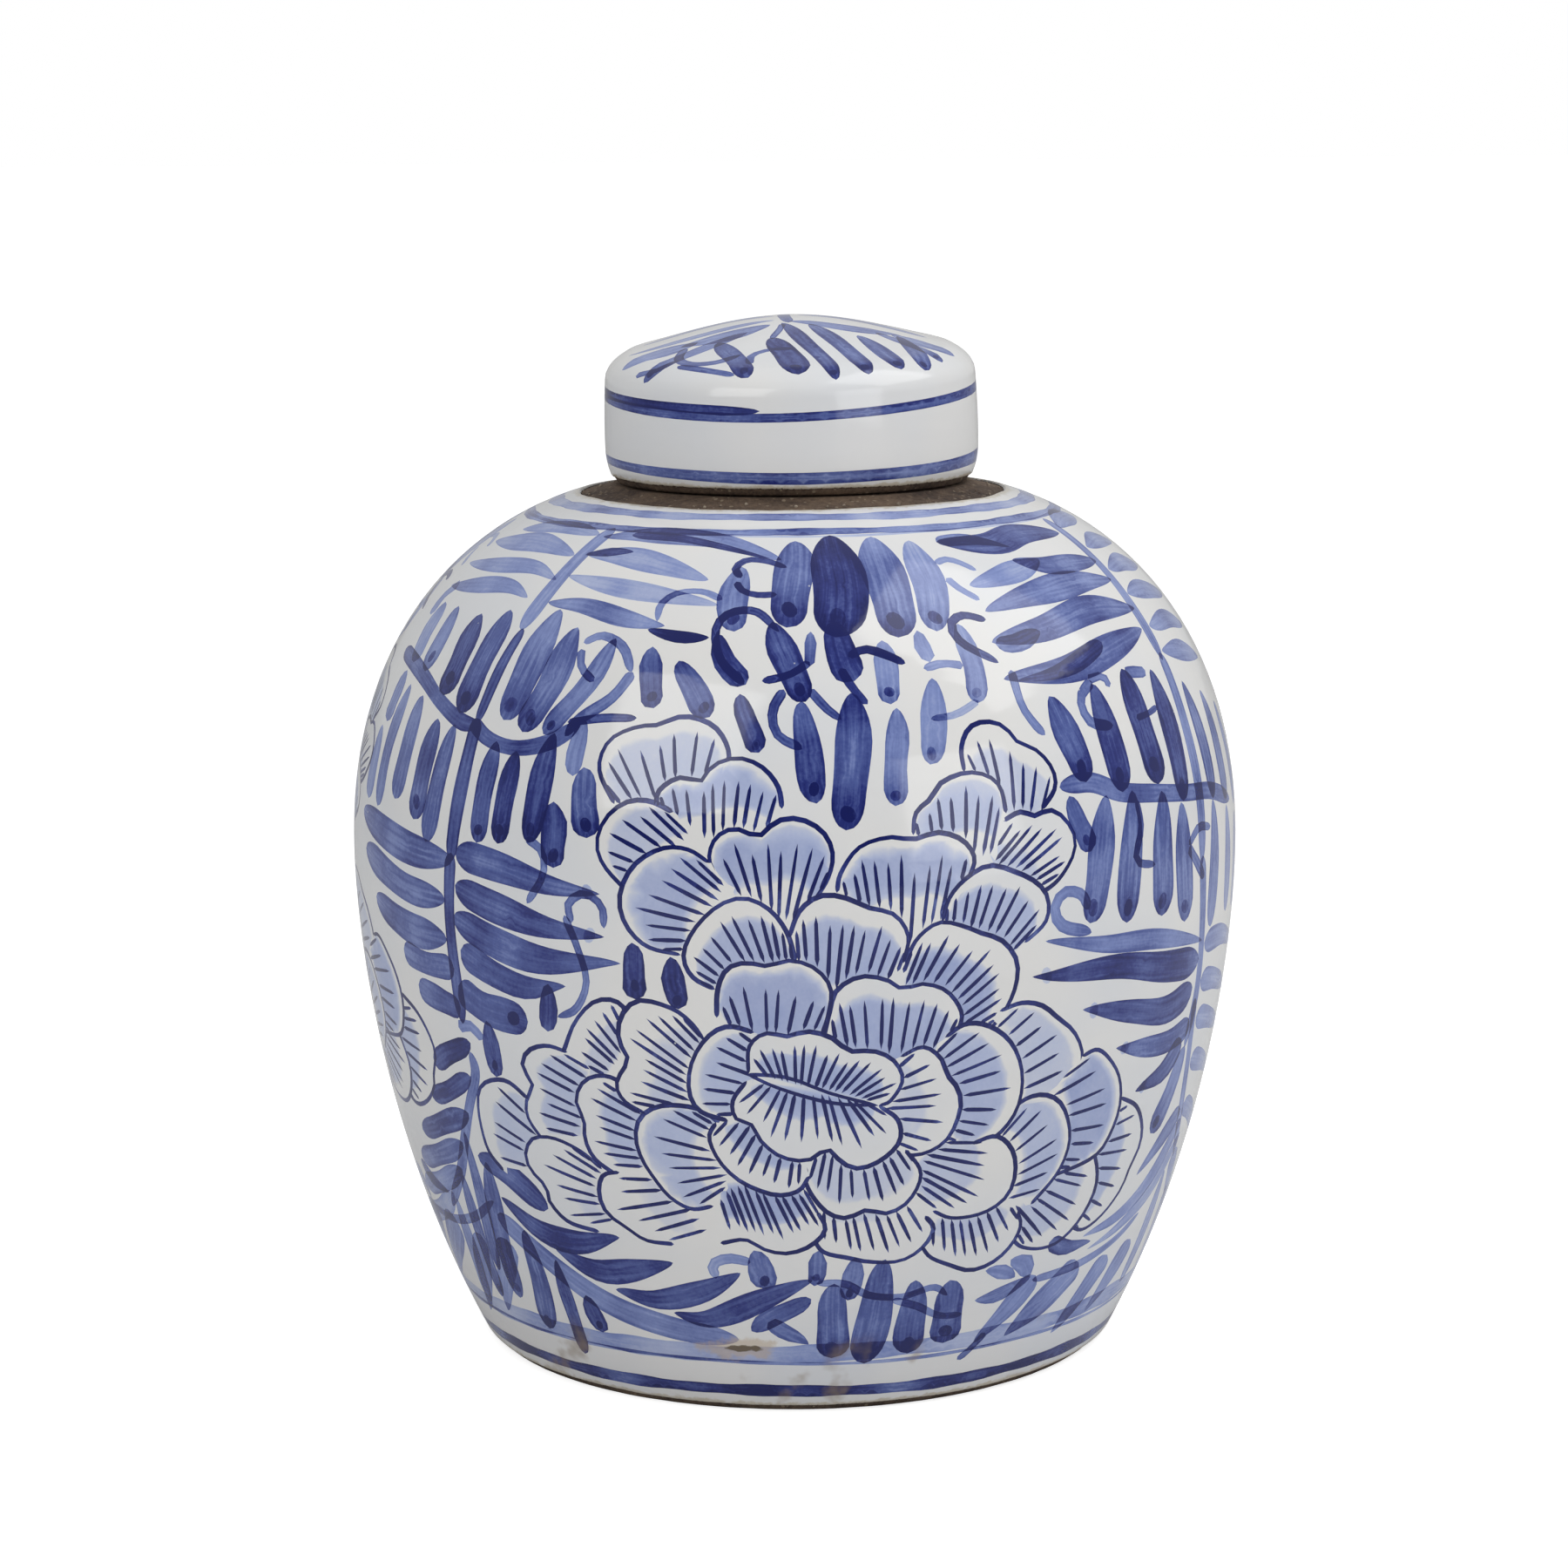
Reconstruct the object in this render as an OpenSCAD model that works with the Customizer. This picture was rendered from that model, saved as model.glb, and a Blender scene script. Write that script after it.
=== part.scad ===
// Ginger jar: a round, high-shouldered jar of thrown clay with a loose cap lid.
// Both are dipped in glaze that stops short of the foot, of the ring on the shoulder
// and of the lid's rim. Millimetres, +Z up, origin at the middle of the foot's underside.

/* [Jar] */
// Radius of the foot at the surface that it stands on
foot_r = 72.2; // [68:0.1:76]
// Largest radius of the belly
belly_r = 99.5; // [97:0.1:102]
// Height of the belly's widest point
belly_z = 112.4; // [108:0.1:116]
// Radius at which the shoulder turns into the seat for the lid
seat_r = 40; // [39:0.5:42]
// Height of the level seat under the lid's rim
seat_z = 192.3; // [190:0.1:194]
// Thickness of the jar's clay wall
wall_t = 5.5; // [4.5:0.1:7]
// Height of the recess inside the foot ring
recess_h = 6; // [4:0.5:8]
// Width of the foot ring that the jar stands on
foot_ring_w = 9; // [7:0.5:12]
// Thickness of the clay floor
floor_t = 7.5; // [6:0.5:10]

/* [Mouth] */
// Outer radius of the neck
neck_r = 34; // [33:0.5:34.5]
// Radius of the mouth
mouth_r = 28.5; // [26:0.5:30]
// Height of the neck above the seat
neck_h = 17; // [12:0.5:18]

/* [Lid] */
// Largest outer radius of the lid
lid_r = 41.5; // [41:0.1:42]
// Height of the lid's side, from its rim to the rounded shoulder of its dome
lid_side_h = 27.7; // [26:0.1:29]
// Rise of the dome above its rounded shoulder
dome_rise = 8.4; // [6:0.1:10]
// Lean of the dome towards the front, in degrees
dome_lean = 4; // [0:0.5:5]
// Lean of the dome to the left, in degrees
dome_lean_side = 1; // [0:0.5:2]
// Thickness of the lid's skirt, with its glaze
skirt_t = 4.9; // [4.5:0.1:5.2]
// Gap between the lid's rim and the seat
rest_gap = 0.3; // [0.2:0.1:0.5]

/* [Glaze] */
// Thickness of the outer glaze coats
coat_t = 0.5; // [0.4:0.05:0.6]
// Thickness of the linings
lining_t = 0.4; // [0.3:0.05:0.5]
// Height of the bare clay below the coat at the foot
bare_foot_h = 1.3; // [1:0.1:3]
// Radius at which the coat stops on the shoulder
bare_ring_r = 47.3; // [46:0.1:50]
// Height of the bare clay below the coat at the lid's rim
bare_rim_h = 1.2; // [1:0.1:2]

/* [Hidden] */
$fn = 96;

clay_colour = [0.47, 0.38, 0.30];
glaze_colour = [0.86, 0.89, 0.89];
inner_glaze_colour = [0.80, 0.83, 0.81];

steps = 14;             // straight steps along each curve of an outline
foot_bevel = 0.8;       // bevel of the foot ring's two edges
floor_round = 16;       // radius of the curve from the floor up to the wall
lip_bevel = 1.2;        // bevel of the mouth's two edges
axis_r = 10;            // radius inside the mouth at which the shoulder's section closes
floor_z = recess_h + floor_t;
lip_z = seat_z + neck_h;
recess_r = foot_r - foot_ring_w;

rim_z = seat_z + rest_gap;
rim_r = 39.2;           // outer radius of the rim, below the tuck of the lid's side
tuck_z = 200;           // height at which the tuck ends and the leaning part starts
lid_corner_z = rim_z + lid_side_h;
lid_corner_r = 35.6;    // radius at which the dome starts
dome_start = 1.6;       // height of the dome's start above the rounded shoulder
apex_z = lid_corner_z + dome_rise;
lid_in_r = lid_r - skirt_t;
ceiling_z = lid_corner_z - 5.8;   // height of the ceiling at the skirt
ceiling_rise = 5;       // how much higher the ceiling is in the middle

// Point at t on the cubic curve that leaves a towards b and reaches d from c
function curve(a, b, c, d, t) =
    pow(1 - t, 3) * a + 3 * pow(1 - t, 2) * t * b + 3 * (1 - t) * t * t * c + pow(t, 3) * d;

// Direction of that curve at t
function curve_dir(a, b, c, d, t) =
    3 * pow(1 - t, 2) * (b - a) + 6 * (1 - t) * t * (c - b) + 3 * t * t * (d - c);

// The jar's outline from the foot (u = 0) over the belly (u = 1) to the seat (u = 2)
lower = [[foot_r, 0], [foot_r + 20, 39], [belly_r, belly_z - 28.4], [belly_r, belly_z]];
upper = [[belly_r, belly_z], [belly_r, belly_z + 50], [seat_r + 29.5, seat_z - 4.8], [seat_r, seat_z]];
function on(part, t) = curve(part[0], part[1], part[2], part[3], t);
function along(part, t) = curve_dir(part[0], part[1], part[2], part[3], t);
function outline(u) = u < 1 ? on(lower, u) : on(upper, u - 1);
function heading(u) = u < 1 ? along(lower, u) : along(upper, u - 1);

// Point of the outline at u, moved into the wall by the given depth
function skin(u, depth) =
    let (h = heading(u))
    outline(u) + depth * [-h.y, h.x] / norm(h);

// Place on the outline, between lo and hi, where the skin at a depth reaches a height
function u_at_z(z, depth, lo, hi, n = 24) =
    let (mid = (lo + hi) / 2)
    n == 0 ? mid
    : skin(mid, depth).y < z ? u_at_z(z, depth, mid, hi, n - 1)
    : u_at_z(z, depth, lo, mid, n - 1);

// Place on the shoulder where the skin at a depth reaches a radius
function u_at_r(r, depth, lo = 1.2, hi = 2, n = 24) =
    let (mid = (lo + hi) / 2)
    n == 0 ? mid
    : skin(mid, depth).x > r ? u_at_r(r, depth, mid, hi, n - 1)
    : u_at_r(r, depth, lo, mid, n - 1);

// Points of the skin at a depth, from u0 up to u1
function skin_points(depth, u0, u1) =
    [for (i = [0:2 * steps]) skin(u0 + (u1 - u0) * i / (2 * steps), depth)];

function reversed(list) = [for (i = [len(list) - 1:-1:0]) list[i]];

// Quarter-ellipse from the floor, at radius r0, up to the wall's point p
function floor_corner(r0, z0, p) =
    [for (i = [0:6]) [r0 + (p.x - r0) * sin(15 * i), p.y - (p.y - z0) * cos(15 * i)]];

// The jar's cavity: from the floor's middle out, up the wall and in to the axis side
function cavity(depth, floor_level) =
    let (u0 = u_at_z(floor_level + floor_round, depth, 0, 1),
         p = skin(u0, depth))
    concat([[0, floor_level]],
           floor_corner(p.x - floor_round, floor_level, p),
           skin_points(depth, u0 + 0.02, 2));

clay_depth = coat_t;
cavity_depth = coat_t + wall_t;
u_clay_foot = u_at_z(foot_bevel, clay_depth, 0, 1);
u_coat_foot = u_at_z(bare_foot_h, 0, 0, 1);
u_clay_at_coat_foot = u_at_z(bare_foot_h, clay_depth, 0, 1);
u_coat_ring = u_at_r(bare_ring_r, 0);
u_clay_at_ring = u_at_r(bare_ring_r, clay_depth);

// The jar's clay: foot ring, wall and shoulder, with the neck set on the seat
module jar_body() {
    inside = cavity(cavity_depth, floor_z);
    foot_out = skin(u_clay_foot, clay_depth);
    color(clay_colour)
    difference() {
        union() {
            rotate_extrude()
            polygon(concat(
                [[0, recess_h], [recess_r - 2, recess_h], [recess_r, recess_h - 2],
                 [recess_r, foot_bevel], [recess_r + foot_bevel, 0], [foot_out.x - foot_bevel, 0]],
                skin_points(clay_depth, u_clay_foot, u_clay_at_ring),
                [skin(u_clay_at_ring + 0.04, clay_depth), [seat_r + 1, seat_z - 0.2], [seat_r, seat_z],
                 [axis_r, seat_z]],
                [[axis_r, inside[len(inside) - 1].y]],
                reversed(inside)));
            neck();
        }
        translate([0, 0, seat_z - 3 * wall_t])
        cylinder(r = mouth_r, h = neck_h + 4 * wall_t);
    }
}

// The neck: a short upright tube with a small fillet at its root and a bevelled lip
module neck() {
    root = 2.2;
    rotate_extrude()
    polygon([[mouth_r - 4, seat_z - 2], [neck_r + root, seat_z - 2], [neck_r + root, seat_z],
             [neck_r + root / 4, seat_z + root / 4], [neck_r, seat_z + root],
             [neck_r, lip_z - lip_bevel], [neck_r - lip_bevel, lip_z],
             [mouth_r - 4, lip_z]]);
}

// The coat on the jar's outside, from just above the foot to the edge of the bare ring
module jar_outer_glaze() {
    color(glaze_colour)
    rotate_extrude()
    polygon(concat(
        skin_points(0, u_coat_foot, u_coat_ring),
        reversed(skin_points(clay_depth, u_clay_at_coat_foot, u_clay_at_ring))));
}

// The lining of the jar's inside, from the floor up to below the neck
module jar_inner_glaze() {
    color(inner_glaze_colour)
    intersection() {
        rotate_extrude()
        difference() {
            polygon(concat(cavity(cavity_depth, floor_z), [[0, seat_z]]));
            polygon(concat(cavity(cavity_depth + lining_t, floor_z + lining_t), [[0, seat_z]]));
        }
        cylinder(r = 2 * belly_r, h = seat_z - 2 * wall_t);
    }
}

// The glaze inside the foot ring
module jar_base_glaze() {
    color(glaze_colour)
    translate([0, 0, recess_h - lining_t])
    cylinder(r = recess_r - 4, h = lining_t);
}

// Outline of the lid's leaning part at a depth below its surface
function dome_points(depth) =
    let (r = lid_r - depth, z = lid_corner_z - depth,
         cr = lid_corner_r, cz = z + dome_start)
    concat(
        [for (i = [0:4]) curve([r, tuck_z], [r, tuck_z + 5], [r - 0.2, tuck_z + 10], [r - 0.6, z - 4], i / 4)],
        [for (i = [1:6]) curve([r - 0.6, z - 4], [r - 0.9, z - 1.2], [cr + 2.2, z + 0.5], [cr, cz], i / 6)],
        [for (i = [1:8]) curve([cr, cz], [cr * 0.7, cz + 2.7], [cr * 0.35, z + dome_rise], [0, z + dome_rise], i / 8)]);

// Outline of the lid's level part, from its rim up the tuck of its side
function tuck_points(depth) =
    [for (i = [0:5]) curve([rim_r - depth, rim_z], [rim_r + 1.4 - depth, rim_z + 1.6],
                           [lid_r - 0.15 - depth, rim_z + 4.9], [lid_r - 0.15 - depth, tuck_z], i / 5)];

// The lid's outer shape at a depth below its surface: a level rim under a leaning dome
module lid_shape(depth) {
    rotate_extrude()
    polygon(concat([[0, rim_z]], tuck_points(depth), [[0, tuck_z]]));
    intersection() {
        translate([0, 0, tuck_z])
        rotate([dome_lean, -dome_lean_side, 0])
        translate([0, 0, -tuck_z])
        rotate_extrude()
        polygon(concat([[0, tuck_z - 5], [lid_r - depth, tuck_z - 5]], dome_points(depth)));
        translate([0, 0, tuck_z])
        cylinder(r = 2 * lid_r, h = 2 * lid_side_h);
    }
}

// The lid's hollow at a depth into it: a round skirt under a low domed ceiling
module lid_hollow(depth) {
    r = lid_in_r - depth;
    corner = 4;
    rotate_extrude()
    polygon(concat(
        [[0, rim_z - 1], [r, rim_z - 1]],
        [for (i = [0:4]) [r - corner * (1 - cos(22.5 * i)), ceiling_z - depth - corner * (1 - sin(22.5 * i))]],
        [for (i = [1:6]) let (s = 1 - i / 6)
            [(r - corner) * s, ceiling_z - depth + ceiling_rise * (1 - s * s)]]));
}

// The lid's clay, hollow from below
module lid_body() {
    color(clay_colour)
    difference() {
        lid_shape(coat_t);
        lid_hollow(0);
    }
}

// The coat on the lid's outside, from just above the rim over the dome
module lid_outer_glaze() {
    color(glaze_colour)
    difference() {
        lid_shape(0);
        lid_shape(coat_t);
        translate([0, 0, rim_z - 1])
        cylinder(r = 2 * lid_r, h = 1 + bare_rim_h);
    }
}

// The lining of the lid's ceiling and of the skirt's inner side
module lid_inner_glaze() {
    color(inner_glaze_colour)
    difference() {
        lid_hollow(0);
        lid_hollow(lining_t);
        translate([0, 0, rim_z - 2])
        cylinder(r = lid_r, h = 2 + 4 * bare_rim_h);
    }
}

jar_body();
jar_outer_glaze();
jar_inner_glaze();
jar_base_glaze();
lid_body();
lid_outer_glaze();
lid_inner_glaze();
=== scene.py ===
import math
import random

import bpy
import numpy as np
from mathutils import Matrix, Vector, kdtree
from mathutils.geometry import delaunay_2d_cdt


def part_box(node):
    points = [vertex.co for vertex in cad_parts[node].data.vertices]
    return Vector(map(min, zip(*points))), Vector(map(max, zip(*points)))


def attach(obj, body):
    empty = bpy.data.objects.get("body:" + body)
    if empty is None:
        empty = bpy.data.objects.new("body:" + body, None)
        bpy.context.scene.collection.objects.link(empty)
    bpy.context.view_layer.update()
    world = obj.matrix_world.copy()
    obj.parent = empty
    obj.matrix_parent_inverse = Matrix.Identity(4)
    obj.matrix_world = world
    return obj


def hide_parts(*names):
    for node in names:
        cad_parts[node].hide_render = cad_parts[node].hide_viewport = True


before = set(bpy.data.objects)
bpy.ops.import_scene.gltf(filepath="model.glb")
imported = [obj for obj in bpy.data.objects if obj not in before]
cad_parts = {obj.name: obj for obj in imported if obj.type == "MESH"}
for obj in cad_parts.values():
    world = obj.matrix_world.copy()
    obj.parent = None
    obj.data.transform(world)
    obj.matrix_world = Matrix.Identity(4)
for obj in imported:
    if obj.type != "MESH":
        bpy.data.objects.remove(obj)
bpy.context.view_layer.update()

bl_info = {
    "name": "Ginger jar",
    "version": (1, 0, 0),
    "blender": (4, 5, 0),
    "location": "View3D > Sidebar > Ginger jar",
    "description": "Makes a hand-painted ginger jar with its cap lid: bare clay, glaze coats and brushwork",
    "category": "Object",
}

MM = 0.001

# ---------------------------------------------------------------- sizes, in millimetres

jar_low, jar_high = (Vector(c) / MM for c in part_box("jar_outer_glaze"))
lid_low = Vector(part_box("lid_body")[0]) / MM
base_high = Vector(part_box("jar_base_glaze")[1]) / MM

BELLY_R = (jar_high.x - jar_low.x) / 2
BELLY_Z = 112.4
FOOT_R = 72.2
SEAT_R = 40.0
SEAT_Z = 192.3
COAT = 0.5
LINING = 0.4
WALL = 5.5
FOOT_RING_W = 9.0
RECESS_H = base_high.z
FLOOR_Z = RECESS_H + 7.5
NECK_R = 34.0
MOUTH_R = 28.5
LIP_Z = SEAT_Z + 17.0
BARE_FOOT = jar_low.z
BARE_RING_R = 47.3

LID_R = 41.5
RIM_R = 39.2
RIM_Z = lid_low.z
TUCK_Z = 200.0
LID_CORNER_Z = RIM_Z + 27.7
LID_CORNER_R = 35.6
DOME_RISE = 8.4
DOME_LEAN = math.radians(4)
DOME_LEAN_SIDE = math.radians(1)
LID_IN_R = LID_R - 4.9
CEILING_Z = LID_CORNER_Z - 5.8
CEILING_RISE = 5.0
BARE_RIM = 1.2


def cubic(points, t):
    """Points at t on the cubic curve with the four given handles."""
    a, b, c, d = (np.array(p, float) for p in points)
    t = np.asarray(t, float)[..., None]
    return (1 - t) ** 3 * a + 3 * (1 - t) ** 2 * t * b + 3 * (1 - t) * t * t * c + t ** 3 * d


def cubic_slope(points, t):
    """Direction of that curve at t."""
    a, b, c, d = (np.array(p, float) for p in points)
    t = np.asarray(t, float)[..., None]
    return 3 * (1 - t) ** 2 * (b - a) + 6 * (1 - t) * t * (c - b) + 3 * t * t * (d - c)


JAR_LOWER = [(FOOT_R, 0), (FOOT_R + 20, 39), (BELLY_R, BELLY_Z - 28.4), (BELLY_R, BELLY_Z)]
JAR_UPPER = [(BELLY_R, BELLY_Z), (BELLY_R, BELLY_Z + 50), (SEAT_R + 29.5, SEAT_Z - 4.8), (SEAT_R, SEAT_Z)]


def joined(curves, steps=160):
    """Points and outward normals along curves that follow each other."""
    t = np.linspace(0, 1, steps)
    points = [cubic(c, t) if i == 0 else cubic(c, t)[1:] for i, c in enumerate(curves)]
    slopes = [cubic_slope(c, t) if i == 0 else cubic_slope(c, t)[1:] for i, c in enumerate(curves)]
    p = np.vstack(points)
    d = np.vstack(slopes)
    n = np.stack([d[:, 1], -d[:, 0]], -1)
    return p, n / np.linalg.norm(n, axis=1)[:, None]


class Outline:
    """A turned outline: radius, height and outward normal by the length run along it."""

    def __init__(self, points, normals):
        self.p = points
        self.n = normals
        self.s = np.concatenate([[0], np.cumsum(np.hypot(*np.diff(points, axis=0).T))])
        self.length = self.s[-1]

    def at(self, s, depth=0.0):
        """Radius and height at length s, moved into the wall by depth."""
        r = np.interp(s, self.s, self.p[:, 0]) - depth * np.interp(s, self.s, self.n[:, 0])
        z = np.interp(s, self.s, self.p[:, 1]) - depth * np.interp(s, self.s, self.n[:, 1])
        return r, z

    def normal(self, s):
        """Outward normal, as its radial and upward parts."""
        n = np.stack([np.interp(s, self.s, self.n[:, 0]), np.interp(s, self.s, self.n[:, 1])], -1)
        return n / np.linalg.norm(n, axis=-1)[..., None]

    def s_at_z(self, z, lo, hi):
        """Length at which the outline reaches a height, on a stretch where it only rises."""
        mask = (self.s >= lo) & (self.s <= hi)
        return float(np.interp(z, self.p[mask, 1], self.s[mask]))

    def s_at_r(self, r, lo):
        """Length at which the outline, running inwards, reaches a radius."""
        mask = self.s >= lo
        return float(np.interp(-r, -self.p[mask, 0], self.s[mask]))


JAR = Outline(*joined([JAR_LOWER, JAR_UPPER]))
S_BELLY = JAR.s[159]
S_FOOT = JAR.s_at_z(BARE_FOOT, 0, S_BELLY)
S_RING = JAR.s_at_r(BARE_RING_R, S_BELLY)
DEG = BELLY_R * math.pi / 180      # width of one degree at the belly

# ---------------------------------------------------------------- brushwork
# Places on the jar are (degrees round from the front, millimetres up along the outline).


def petal(tip, base, hatches, wash=(0.35, 0.85), tone=0.22, reach=0.6):
    """A scalloped petal: its outline round the tip, the two ends of its base, and what fills it."""
    return dict(tip=tip, base=base, hatches=hatches, wash=wash, tone=tone, reach=reach)


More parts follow.
